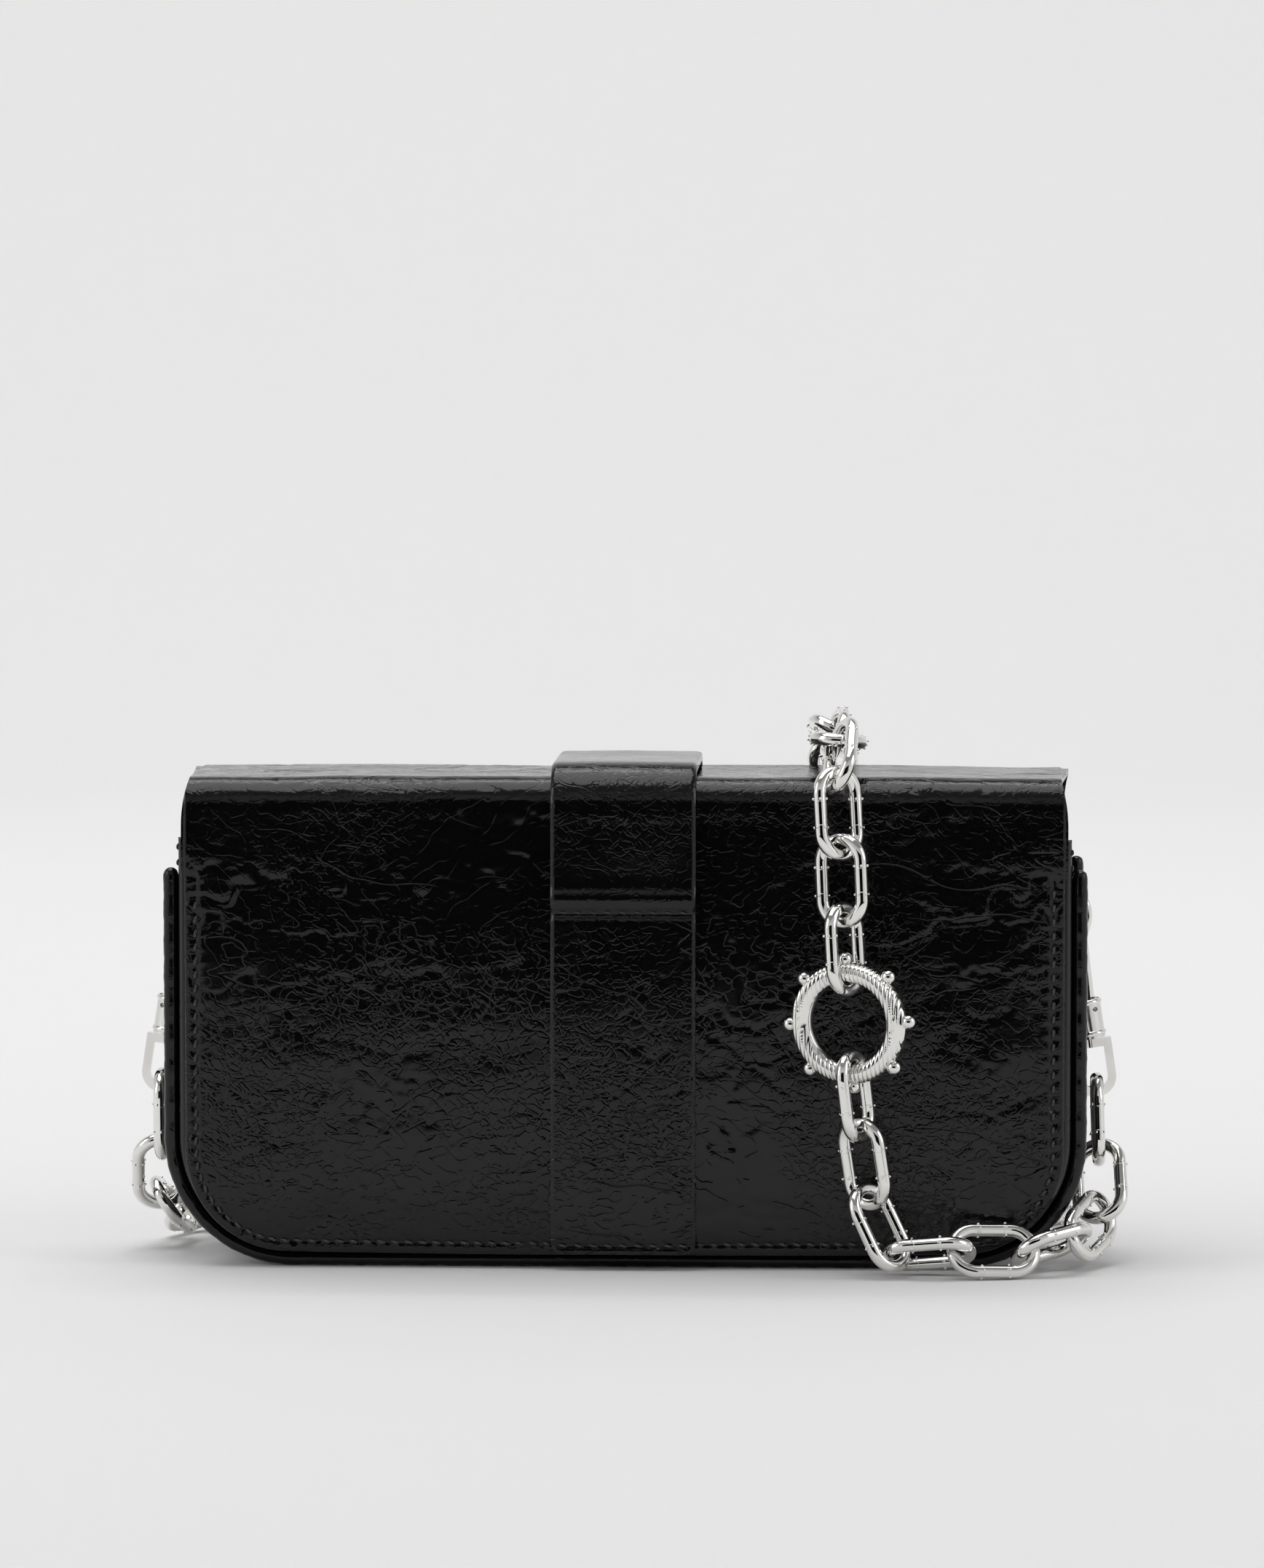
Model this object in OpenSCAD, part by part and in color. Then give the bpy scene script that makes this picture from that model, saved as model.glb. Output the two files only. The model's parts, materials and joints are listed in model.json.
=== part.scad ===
// Crossbody bag with a chain shoulder strap, standing on its base, millimetres.
// The body is a flat back and front joined by a gusset, with piped edges. One piece of leather
// covers the back, folds over the top and closes the front. X runs along the bag, +X is the
// wearer's left when the back lies against the body. The sewn back faces -Y, the flap front +Y.
// The origin is the middle of the base.

/* [Body] */
// Length over the pipings
bag_w = 240; // [215:1:280]
// Height over the folded flap
bag_h = 127.5; // [115:0.5:150]
// Distance between the two pipings, middle to middle
bag_d = 46; // [40:1:60]
// Outer radius of the piped bottom corners
corner_r = 33.5; // [28:0.5:40]
// Thickness of the leather piping
piping_d = 4; // [3.4:0.1:4.4]
// Thickness of the gusset leather
gusset_t = 1.6; // [1.2:0.1:2]
// How far the gusset sides lie inside the piping
gusset_inset = 8.4; // [8:0.1:9]
// Thickness of the padded back and front panels
panel_t = 3.4; // [2.6:0.1:4]
// Height of the panels' top edge
panel_top = 112; // [104:0.5:112]
// Height where the pipings and the sewn cover seam end
seam_top = 102; // [96:0.5:103]
// Thickness of the lining
lining_t = 0.8; // [0.6:0.1:1.2]

/* [Flap] */
// Width of the flap and back cover
flap_w = 228; // [205:1:232]
// Thickness of the flap leather
leather_t = 1.6; // [1.2:0.1:2]
// Radius of the cover's rounded corners
flap_r = 26.5; // [20:0.5:30]
// Height of the cover's bottom edge over the floor
cover_bottom = 4.4; // [4.2:0.1:8]
// Height of the flap's front edge over the floor
flap_bottom = 48; // [42:0.5:60]
// Outside radius of the fold over the top edges
fold_r = 8; // [6.5:0.5:9]

/* [Strap band] */
// Width of the band down the middle
band_w = 37.5; // [30:0.5:45]
// Thickness of the doubled band
band_t = 2.4; // [2:0.1:3]
// Height of the stitch line that holds the band on the back
band_seam = 93.3; // [80:0.5:96]
// How high the band loops over the flap
band_lift = 4; // [3:0.5:6]
// Height of the tongue's tip over the floor
tongue_bottom = 18; // [14:0.5:22]

/* [Closure] */
// Diameter of the magnetic snap
snap_d = 14; // [12:0.5:18]
// Height of the snap over the floor
snap_z = 31; // [29:0.5:32]

/* [Chain] */
// Wire of the chain links
wire_d = 3.4; // [3:0.1:3.6]
// Outside length of a link
link_len = 24.8; // [24:0.1:27]
// Outside width of a link
link_w = 15.2; // [14.4:0.1:16]
// Play between two links that hang straight
link_gap = 0.35; // [0.3:0.05:0.5]
// Spare play of each link that lies on the floor
lie_gap = 0.5; // [0.4:0.05:0.8]
// How far from the middle the chain crosses the bag
chain_x = 55; // [50:1:60]
// Middle radius of the ornamental ring
ring_r = 13.1; // [12.5:0.1:14]
// Thickness of the ornamental ring
ring_d = 5.5; // [5:0.1:5.6]
// Diameter of the ball studs
stud_d = 3.8; // [3:0.1:4]

/* [Clasps] */
// Wire of the D-rings
dee_wire = 2.2; // [2:0.1:2.4]
// Height of the middle of the D-rings
dee_z = 90; // [88:0.5:91]
// Thickness of the hook
hook_d = 2.5; // [2.2:0.1:2.6]
// Middle radius of the hook's crown
crown_r = 4.6; // [4.4:0.1:5]
// Diameter of the hook's barrel
barrel_d = 8.4; // [8:0.1:9]
// Length of the hook's barrel
barrel_l = 10; // [9.5:0.1:11]
// Width of the swivel eye
eye_w = 11; // [10.6:0.1:12]
// Lean of the clasps, tops towards the bag, in degrees
clasp_lean = 8.5; // [7:0.5:9]

/* [Hidden] */
// Clearance between pieces of different bodies
gap = 0.3;
// Clearance between pieces that lie on each other
seat_gap = 0.1;
// Overrun of every cut
cut = 1;

// Depth of the body, from the middle to each surface
half_w = bag_w / 2;
piping_y = bag_d / 2;
panel_in = piping_y + 2 * seat_gap;
panel_out = panel_in + panel_t;
cover_in = panel_out + 2 * seat_gap;
cover_out = cover_in + leather_t;
flap_lining_t = lining_t;
flap_lining_in = panel_out + gap;
flap_in = flap_lining_in + flap_lining_t + seat_gap;
flap_out = flap_in + leather_t;
gusset_x = half_w - gusset_inset;
gusset_y = piping_y - piping_d / 2 - 2 * seat_gap;

// Clasps: where the D-ring's bar, the hook's crown and the chain's first joint lie
tab_t = 1;
bar_bore_gap = 0.15;
bar_x = gusset_x + seat_gap + tab_t + bar_bore_gap + dee_wire / 2;
dee_bow_r = 9.5;
dee_bow_angle = 28;
// The hook's wire hangs in the D-ring's lower corner, which leaves room for it to stand askew
dee_corner_r = hook_d / 2 + dee_wire / 2 + 2 * gap;
dee_rise = (dee_bow_r - dee_corner_r) * sin(dee_bow_angle);
crown_x = bar_x + dee_corner_r + crown_r * sin(clasp_lean);
crown_z = dee_z - dee_rise - crown_r * cos(clasp_lean);
barrel_top = -3.2 * crown_r;
barrel_end = barrel_top - barrel_l;
eye_t = 2.2;
eye_depth = 2.8;
eye_top = barrel_end - gap;
eye_l = 15.2;
eye_end = eye_top - eye_l;
first_joint = eye_end + eye_t + 2 * gap - link_gap / 2;
start = [crown_x - first_joint * sin(clasp_lean), 0, crown_z + first_joint * cos(clasp_lean)];

// The chain: a link is two straight wires and two half rounds
bend_r = (link_w - wire_d) / 2;
side_l = link_len - wire_d - 2 * bend_r;
pitch = link_len - 2 * wire_d - link_gap;
ring_pitch = 2 * ring_r - ring_d - link_gap;

// The route of the chain from the right clasp: each point is a place plus shares of a link's length
drop_shares = [[0, 0, 0], [0.02, -0.12, -0.7], [0.05, -0.5, -1.24]];
corner_shares = [[-0.18, -0.05, 0.33], [-0.8, -0.47, 0.27]];
floor_back_shares = [[1.15, -0.54, 0.3], [0.48, -0.47, 0.27]];
back_shares = [[0.36, -0.4, 0.8], [0.24, -0.4, 1.6], [0.16, -0.41, 2.32], [0.11, -0.41, 3.12],
    [0.07, -0.34, 3.83], [0.04, -0.28, 4.53]];
top_back_shares = [[0, -0.13, 0.14], [0.02, 0.45, 0.42]];
top_front_shares = [[-0.02, -1.1, 0.33], [-0.06, -0.5, 0.4]];
front_shares = [[-0.07, 0.16, 0.1], [-0.05, 0.34, -0.55], [-0.04, 0.33, -1.5]];
front_low_shares = [[-0.04, 0.33, 1.6], [-0.01, 0.34, 1.2], [0.12, 0.38, 0.66], [0.55, 0.5, 0.3]];
turn_shares = [[1.3, 0.7, 0.26], [2.05, 1.05, 0.26], [2.4, 1.65, 0.26], [2.2, 2.3, 0.26],
    [1.6, 2.65, 0.26], [0.8, 2.75, 0.26], [-1, 2.65, 0.26]];
function places(at, shares) = [for (s = shares) at + link_len * s];
right_route = concat(
    places(start, drop_shares),
    places([half_w, -cover_out, 0], corner_shares),
    places([chain_x, -cover_out, 0], concat(floor_back_shares, back_shares)),
    places([chain_x, -cover_out, bag_h], top_back_shares),
    places([chain_x, flap_out, bag_h], concat(top_front_shares, front_shares)),
    places([chain_x, flap_out, 0], concat(front_low_shares, turn_shares)));
// The route of the chain's other end, from the left clasp
left_drop_shares = [[0, 0, 0], [0, 0.04, -0.7], [0.04, 0.32, -1.22]];
left_floor_shares = [[0.08, 0.86, 0.34], [-0.2, 1.5, 0.26], [-0.6, 2.05, 0.26], [-1.25, 2.33, 0.26],
    [-2.2, 2.37, 0.26]];
left_start = [-start[0], 0, start[2]];
left_route = concat(
    places(left_start, [for (s = left_drop_shares) [-s[0], s[1], s[2]]]),
    places([-half_w, 0, 0], [for (s = left_floor_shares) [-s[0], s[1], s[2]]]));

// Each link's play, twist in degrees and slip, in turn. Play and slip are shares of a lying link's spare play
right_link_shares = [[0.5, 0], [1.5, 20, -0.5], [1.5, 20, -1.5], [0.5, 20], [0.5, 0], [2.5, 0, -1],
    [2.5, 0, -2.5], [0, 0], [0, 14], [0, 5], [0, -12], [0, 4], [1, -20], [3.5, -20, 3], [2, -18],
    [0.5, 15], [2.5, 15], [2.5, 15], [0, 0], [0, 0], [0, 0], [0, 0], [1, 0], [1.5, -10, 1.5], [2, -10],
    [1.5, -10], [1.5, 0], [1.5, 0], [1.5, 0], [1, 0], [1, 0]];
left_link_shares = [[1, 0], [1.5, -10, -1], [2, -10, 1], [1.5, -10], [1, 0], [1, 0]];
ring_at = 9;

// A smooth line through the route's points
steps = 16;
function between(a, b, c, d, t) =
    (2 * b + (c - a) * t + (2 * a - 5 * b + 4 * c - d) * t * t + (3 * b - 3 * c + d - a) * t * t * t) / 2;
function smooth(p) = let (n = len(p), q = concat([2 * p[0] - p[1]], p, [2 * p[n - 1] - p[n - 2]]))
    concat([for (i = [1:n - 1], k = [0:steps - 1]) between(q[i - 1], q[i], q[i + 1], q[i + 2], k / steps)],
        [p[n - 1]]);

// Walks along a line with one stride after the other and gives the joints between the links
function beyond(line, i, p, stride) = norm(line[i + 1] - p) >= stride ? i : beyond(line, i + 1, p, stride);
function meet(a, b, p, stride) = let (u = b - a, v = a - p, h = (u * v) / (u * u))
    a + u * (sqrt(h * h - (v * v - stride * stride) / (u * u)) - h);
function walk(line, strides, k, i, p) = k == len(strides) ? [p] : let (
    j = beyond(line, i, p, strides[k]),
    q = meet(line[j], line[j + 1], p, strides[k]))
    concat([p], walk(line, strides, k + 1, j, q));
function strides(links, ring) = [for (i = [0:len(links) - 1]) i == ring ? ring_pitch :
    pitch - links[i][0] * lie_gap];
right_joints = walk(smooth(right_route), strides(right_link_shares, ring_at), 0, 0, right_route[0]);
left_joints = walk(smooth(left_route), strides(left_link_shares, -1), 0, 0, left_route[0]);

// Each link stands across the one before it, turned by its twist
function unit(v) = v / norm(v);
function square_to(v, t) = unit(v - (v * t) * t);
function spin(v, t, a) = v * cos(a) + cross(t, v) * sin(a);
function widths(joints, links, k, w) = k == len(links) ? [] : let (
    t = unit(joints[k + 1] - joints[k]),
    v = spin(square_to(w, t), t, links[k][1]))
    concat([v], widths(joints, links, k + 1, cross(t, v)));
right_widths = widths(right_joints, right_link_shares, 0, [0, 1, 0]);
left_widths = widths(left_joints, left_link_shares, 0, [0, 1, 0]);

// The run between the two ends lies straight, its links evenly spaced
run_from = right_joints[len(right_joints) - 1];
run_to = left_joints[len(left_joints) - 1];
run_count = ceil(norm(run_to - run_from) / (pitch - lie_gap));
run_joints = [for (i = [0:run_count]) run_from + (run_to - run_from) * i / run_count];
function last(list) = list[len(list) - 1];
run_t = unit(run_to - run_from);
right_end_t = unit(run_from - right_joints[len(right_joints) - 2]);
run_first = square_to(cross(right_end_t, last(right_widths)), run_t);
run_last = square_to(last(left_widths), run_t);
// The twist that is left at the far end is shared out among the run's links
run_ahead = run_count % 2 == 0 ? run_first : cross(run_t, run_first);
run_twist = atan2(cross(run_ahead, run_last) * run_t, run_ahead * run_last);
run_spare = run_twist > 90 ? run_twist - 180 : run_twist < -90 ? run_twist + 180 : run_twist;
run_links = [for (i = [0:run_count - 1]) [0, i == 0 ? 0 : run_spare / run_count]];
run_widths = widths(run_joints, run_links, 0, run_first);

// A link slips sideways where the next one pulls at a corner of its loop
function slip(link) = len(link) > 2 ? link[2] * lie_gap : 0;
function poses(joints, widths, links) = [for (k = [0:len(widths) - 1])
    [(joints[k] + joints[k + 1]) / 2 + slip(links[k]) * widths[k],
        unit(joints[k + 1] - joints[k]), widths[k]]];
chain = concat(poses(right_joints, right_widths, right_link_shares),
    poses(run_joints, run_widths, run_links));
left_chain = poses(left_joints, left_widths, left_link_shares);
// The run is drawn in three parts, whatever its number of links
run_at = len(right_link_shares) - 1;
run_part = ceil((len(chain) - run_at) / 3);

// The flap turns about the top wire of the last link on the back
back_last = chain[12];
flap_axis = back_last[0] + back_last[1] * (link_len - wire_d) / 2;

// Outlines of the sewn pieces
edge_gap = 2 * seat_gap;
panel_w = 2 * (half_w - piping_d - edge_gap);
panel_r = corner_r - piping_d - edge_gap;
tube_r = corner_r - piping_d / 2;
welt_t = piping_y - gusset_y - seat_gap;
welt_in = gusset_x - gusset_t - 2 * edge_gap;
gusset_r = corner_r - gusset_inset / 2;
rim_drop = 4;
gusset_top = panel_top - rim_drop;
lining_y = gusset_y - edge_gap;
lining_x = gusset_x - gusset_t - edge_gap;
board_t = 1.5;
board_z = gusset_t + seat_gap;
lining_z = board_z + board_t + edge_gap;
lining_r = gusset_r - gusset_t - edge_gap;
stiff_t = piping_y + seat_gap - lining_y - seat_gap;
stiff_w = 2 * (welt_in - 4 * gap);
pocket_t = 0.8;
pocket_w = bag_w / 2;
pocket_z = 40;

// The folds over the top
fold_z = bag_h - fold_r;
back_fold_y = fold_r - cover_out;
front_fold_y = flap_out - fold_r;
// Angles round the folds where the flap and the tongue begin, and of the slit between bodies
split = 135;
slit = 1;
tongue_split = 45;
lining_fold_r = fold_r - leather_t - seat_gap;
band_r = fold_r + band_lift;
band_y = cover_out + seat_gap;
band_lean = band_r - fold_r - seat_gap - band_t;
tongue_y = flap_out + 2 * seat_gap;
tongue_bend_z = fold_z - 3 * fold_r;
band_corner_r = 3;
tongue_r = 12;

// Snap
snap_t = 1.4;
snap_gap = 0.15;
stud_bore = 4.4;
snap_stud_d = 4;
washer_share = 0.86;
washer_d = snap_d * washer_share;
washer_t = 0.8;

// Clasp
tab_w = 18;
tab_h = 4.2;
tab_low = dee_z - tab_h / 3;
arm_t = 2.8;
slot_w = 2.8;
slot_depth = 4.6;
gate_d = 2.2;
gate_eye_d = 3.2;
gate_pin_d = 1.2;
pin_gap = 0.08;
pivot_u = -2.4;
pivot_drop = 2.4;
pivot_z = barrel_top - pivot_drop;
pin_share = 0.76;
gate_root_share = 0.4;
nose_angle = 200;
shank_d = 3;
head_d = 5.6;
head_t = 1.6;
cavity_t = head_t + 2 * gap;
neck = 2.6;
clasp_turn = 72;
bead_share = 1.08;

// Ring
stud_proud = 0.65;
stud_at = ring_r + ring_d / 2 + stud_proud;
stud_count = 8;

$fn = 48;

// Upright outline with rounded lower corners, and the plate made from it
module foot_outline(w, low, top, r) {
    translate([-w / 2, low + r]) square([w, top - low - r]);
    translate([r - w / 2, low]) square([w - 2 * r, top - low]);
    for (side = [-1, 1]) translate([side * (w / 2 - r), low + r]) circle(r);
}
module plate(from, to) translate([0, to, 0]) rotate([90, 0, 0]) linear_extrude(to - from) children();
// Profile in Y and Z drawn out along X
module along(w) rotate([90, 0, 90]) linear_extrude(w, center = true) children();
// Part of a fold about a line along X, its angles from +Y upwards, or from -Y upwards for a back fold
module back_fold(y, r, t, w, from, to) mirror([0, 1, 0]) fold(-y, r, t, w, from, to);
module fold(y, r, t, w, from, to) translate([0, y, fold_z]) rotate([from, 0, 0]) rotate([90, 0, 90])
    rotate_extrude(angle = to - from) translate([r - t, -w / 2]) square([t, w]);
// Bent round wire in the XZ plane
module bent(r, d, from, to) rotate([90, 0, 0]) rotate([0, 0, from])
    rotate_extrude(angle = to - from) translate([r, 0]) circle(d = d);

module back_panel() color("#161616") plate(-panel_out, -panel_in)
    foot_outline(panel_w, piping_d + edge_gap, panel_top, panel_r);
module front_panel() color("#161616") plate(panel_in, panel_out)
    foot_outline(panel_w, piping_d + edge_gap, panel_top, panel_r);

module gusset() color("#141414") difference() {
    plate(-gusset_y, gusset_y) foot_outline(2 * gusset_x, 0, gusset_top, gusset_r);
    plate(-bag_d, bag_d) foot_outline(2 * (gusset_x - gusset_t), gusset_t, bag_h, gusset_r - gusset_t);
}

// Rolled leather tube along the seam with the welt that is sewn between panel and gusset
module piping() {
    for (side = [-1, 1]) {
        translate([side * (half_w - piping_d / 2), 0, corner_r])
            cylinder(d = piping_d, h = seam_top - corner_r);
        translate([side * (half_w - piping_d / 2), 0, seam_top]) sphere(d = piping_d);
        translate([side * (half_w - corner_r), 0, corner_r])
            bent(tube_r, piping_d, side > 0 ? 270 : 180, side > 0 ? 360 : 270);
    }
    translate([corner_r - half_w, 0, piping_d / 2]) rotate([0, 90, 0])
        cylinder(d = piping_d, h = bag_w - 2 * corner_r);
    difference() {
        plate(-seat_gap, welt_t) foot_outline(bag_w - 2 * piping_d + 4 * gap, piping_d - 2 * gap,
            seam_top, corner_r - piping_d + 2 * gap);
        plate(-bag_d, bag_d) foot_outline(2 * welt_in, half_w - welt_in, bag_h, corner_r - half_w + welt_in);
    }
}
module back_piping() color("#101010") translate([0, -piping_y, 0]) piping();
module front_piping() color("#101010") mirror([0, 1, 0]) translate([0, -piping_y, 0]) piping();

// One piece of leather: sewn on the back, over the top, down the front
module back_cover() color("#1b1b1b") {
    plate(-cover_out, -cover_in) foot_outline(flap_w, cover_bottom, fold_z, flap_r);
    back_fold(back_fold_y, fold_r, leather_t, flap_w, 0, 180 - split);
}
module flap() color("#1b1b1b") {
    fold(back_fold_y, fold_r, leather_t, flap_w, 90, split - slit);
    translate([-flap_w / 2, back_fold_y, bag_h - leather_t])
        cube([flap_w, front_fold_y - back_fold_y, leather_t]);
    fold(front_fold_y, fold_r, leather_t, flap_w, 0, 90);
    plate(flap_in, flap_out) foot_outline(flap_w, flap_bottom, fold_z, flap_r);
}
module flap_lining() color("#2a2624") {
    w = flap_w - 4 * leather_t;
    fold(back_fold_y, lining_fold_r, flap_lining_t, w, 90, split - 2 * slit);
    translate([-w / 2, back_fold_y, fold_z + lining_fold_r - flap_lining_t])
        cube([w, front_fold_y - back_fold_y, flap_lining_t]);
    fold(front_fold_y, lining_fold_r, flap_lining_t, w, 0, 90);
    plate(flap_lining_in, flap_lining_in + flap_lining_t)
        foot_outline(w, flap_bottom + 2 * leather_t, fold_z, flap_r - 2 * leather_t);
}

module strap_band_back() color("#1d1d1d") {
    plate(-band_y - band_t, -band_y) foot_outline(band_w, cover_bottom, band_seam, band_corner_r);
    along(band_w) polygon([[-band_y, band_seam - band_t], [-band_y - band_t, band_seam - band_t],
        [-band_y - band_t, band_seam], [-band_y - band_t - band_lean, fold_z],
        [-band_y - band_lean, fold_z], [-band_y, band_seam]]);
    back_fold(back_fold_y, band_r, band_t, band_w, 0, 180 - split);
}
module strap_band_top() color("#1d1d1d") {
    fold(back_fold_y, band_r, band_t, band_w, 90, split - slit);
    translate([-band_w / 2, back_fold_y, fold_z + band_r - band_t])
        cube([band_w, front_fold_y - back_fold_y, band_t]);
    back_fold(front_fold_y, band_r, band_t, band_w, 90, 180 - tongue_split - slit);
}
module strap_tongue() color("#1d1d1d") {
    fold(front_fold_y, band_r, band_t, band_w, 0, tongue_split);
    along(band_w) polygon([[front_fold_y + band_r - band_t, fold_z], [front_fold_y + band_r, fold_z],
        [tongue_y + band_t, tongue_bend_z], [tongue_y, tongue_bend_z]]);
    plate(tongue_y, tongue_y + band_t) foot_outline(band_w, tongue_bottom, tongue_bend_z, tongue_r);
}

// Boards and foam between the panels and the lining
module stiffener() plate(-stiff_t / 2, stiff_t / 2)
    foot_outline(stiff_w, half_w - stiff_w / 2, seam_top + piping_d, corner_r - half_w + stiff_w / 2);
module back_stiffener() color("#8a7a60") translate([0, -lining_y - seat_gap - stiff_t / 2, 0]) stiffener();
module front_stiffener() color("#8a7a60") difference() {
    translate([0, lining_y + seat_gap + stiff_t / 2, 0]) stiffener();
    translate([0, 0, snap_z]) rotate([-90, 0, 0]) cylinder(d = washer_d + 2 * gap, h = bag_d);
}
module base_board() color("#8a7a60") translate([gusset_r + gap - gusset_x, -lining_y + gap, board_z])
    cube([2 * (gusset_x - gusset_r - gap), 2 * (lining_y - gap), board_t]);

module lining() color("#3a342f") difference() {
    plate(-lining_y, lining_y) foot_outline(2 * lining_x, lining_z, gusset_top, lining_r);
    plate(lining_t - lining_y, lining_y - lining_t)
        foot_outline(2 * (lining_x - lining_t), lining_z + lining_t, bag_h, lining_r - lining_t);
}
module slip_pocket() color("#3a342f") translate([-pocket_w / 2, lining_t + seat_gap - lining_y, pocket_z])
    cube([pocket_w, pocket_t, gusset_top - pocket_z - 4 * gusset_t]);

// Magnetic snap: the socket on the front, the stud under the tongue
module snap_at(y) translate([0, y, snap_z]) rotate([-90, 0, 0]) children();
module snap_female() color("#b9bcc0") snap_at(panel_out + seat_gap) difference() {
    cylinder(d = snap_d, h = snap_t);
    translate([0, 0, snap_t - 1.2 * seat_gap - snap_t / 2]) cylinder(d = stud_bore, h = snap_t);
}
module snap_male() color("#b9bcc0") snap_at(panel_out + seat_gap + snap_t + snap_gap) {
    cylinder(d = snap_d, h = tongue_y - seat_gap - panel_out - seat_gap - snap_t - snap_gap);
    translate([0, 0, -snap_t / 2 + 2 * seat_gap]) cylinder(d = snap_stud_d, h = snap_t / 2);
}
module snap_washer() color("#b9bcc0") snap_at(piping_y + seat_gap - washer_t)
    cylinder(d = washer_d, h = washer_t);

// Leather tab that holds the D-ring's straight bar, sewn to the gusset side
module d_tab() difference() {
    union() {
        translate([gusset_x + seat_gap, -tab_w / 2, tab_low]) cube([tab_t, tab_w, tab_h]);
        translate([bar_x, 0, tab_low]) cylinder(r = dee_wire / 2 + bar_bore_gap + tab_t, h = tab_h);
    }
    translate([bar_x, 0, tab_low - cut]) cylinder(r = dee_wire / 2 + bar_bore_gap, h = tab_h + 2 * cut);
}
module d_tab_right() color("#181818") d_tab();
module d_tab_left() color("#181818") mirror([1, 0, 0]) d_tab();

// D-ring: a straight bar, two tight corners and a wide bow
module d_ring() translate([bar_x, 0, dee_z]) {
    bow_x = dee_corner_r - (dee_bow_r - dee_corner_r) * cos(dee_bow_angle);
    translate([0, 0, -dee_rise]) cylinder(d = dee_wire, h = 2 * dee_rise);
    translate([bow_x, 0, 0]) bent(dee_bow_r, dee_wire, 1 - dee_bow_angle, dee_bow_angle - 1);
    for (side = [-1, 1]) {
        translate([dee_corner_r, 0, side * dee_rise])
            bent(dee_corner_r, dee_wire, side > 0 ? dee_bow_angle + 2 : 182,
                side > 0 ? 178 : 358 - dee_bow_angle);
        // Beads where the bends meet
        translate([0, 0, side * dee_rise]) sphere(d = dee_wire * bead_share);
        translate([bow_x + dee_bow_r * cos(dee_bow_angle), 0, side * dee_bow_r * sin(dee_bow_angle)])
            sphere(d = dee_wire * bead_share);
    }
}
module d_ring_right() color("#d8dade") d_ring();
module d_ring_left() color("#d8dade") mirror([1, 0, 0]) d_ring();

// Snap hook, drawn with its crown's centre at the origin and its axis upright
module clasp_place() translate([crown_x, 0, crown_z]) rotate([0, -clasp_lean, 0]) children();
module hook() clasp_place() rotate([0, 0, clasp_turn]) {
    bent(crown_r, hook_d, -5, nose_angle);
    translate([crown_r * cos(nose_angle), 0, crown_r * sin(nose_angle)]) sphere(d = hook_d * bead_share);
    difference() {
        union() {
            translate([0, arm_t / 2, 0]) rotate([90, 0, 0]) linear_extrude(arm_t)
                polygon([[crown_r - hook_d / 2 - seat_gap, 0], [crown_r + hook_d / 2 + seat_gap, 0],
                    [crown_r, barrel_top - gap], [crown_r / 4, barrel_top - gap]]);
            translate([0, 0, barrel_end]) cylinder(d = barrel_d, h = barrel_l);
        }
        translate([-barrel_d, -slot_w / 2, barrel_top - slot_depth])
            cube([barrel_d + pivot_u + gate_eye_d / 2 + gap, slot_w, slot_depth + cut]);
        translate([pivot_u, barrel_d, pivot_z]) rotate([90, 0, 0])
            cylinder(d = gate_pin_d + pin_gap / 2, h = 2 * barrel_d);
        translate([0, 0, barrel_end - cut])
            cylinder(d = shank_d + 2 * pin_gap + gap / 2, h = cut + neck + gap);
        translate([0, 0, barrel_end + neck]) cylinder(d = head_d + gap, h = cavity_t);
    }
}
module hook_right() color("#d8dade") hook();
module hook_left() color("#d8dade") mirror([1, 0, 0]) hook();

// Gate: an eye on the pin and a straight wire up to the hook's nose
module gate() clasp_place() rotate([0, 0, clasp_turn]) translate([pivot_u, 0, pivot_z]) {
    reach_x = crown_r * cos(nose_angle) - pivot_u;
    reach_z = crown_r * sin(nose_angle) - hook_d / 2 - 2 * gap - gate_d / 2 - pivot_z;
    reach = norm([reach_x, reach_z]);
    difference() {
        union() {
            translate([0, gap, 0]) rotate([90, 0, 0]) cylinder(d = gate_eye_d, h = slot_w / 2 + gap / 2);
            rotate([0, atan2(reach_x, reach_z), 0]) {
                root = gate_eye_d * gate_root_share;
                translate([0, gap / 2 - slot_w / 4, root])
                    cylinder(d = gate_d - 2 * gap, h = 3 * gate_eye_d - root);
                translate([0, 0, 2 * gate_eye_d]) cylinder(d = gate_d, h = reach - 2 * gate_eye_d);
            }
            translate([reach_x, 0, reach_z]) sphere(d = gate_d * bead_share);
        }
        translate([0, barrel_d, 0]) rotate([90, 0, 0])
            cylinder(d = gate_pin_d + 2 * pin_gap, h = 2 * barrel_d);
    }
}
module gate_right() color("#d8dade") gate();
module gate_left() color("#d8dade") mirror([1, 0, 0]) gate();

module gate_pin() clasp_place() rotate([0, 0, clasp_turn])
    translate([pivot_u, barrel_d * pin_share / 2, pivot_z]) rotate([90, 0, 0])
        cylinder(d = gate_pin_d, h = barrel_d * pin_share);
module gate_pin_right() color("#b9bcc0") gate_pin();
module gate_pin_left() color("#b9bcc0") mirror([1, 0, 0]) gate_pin();

// Coiled spring round the gate's pin, as a plain sleeve
module gate_spring() clasp_place() rotate([0, 0, clasp_turn])
    translate([pivot_u, slot_w / 2 - pin_gap, pivot_z]) rotate([90, 0, 0]) difference() {
        cylinder(d = gate_eye_d - gap, h = slot_w / 2 - 2 * gap);
        translate([0, 0, -cut]) cylinder(d = gate_pin_d + 2 * pin_gap, h = slot_w + cut);
    }
module gate_spring_right() color("#9a9da2") gate_spring();
module gate_spring_left() color("#9a9da2") mirror([1, 0, 0]) gate_spring();

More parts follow.
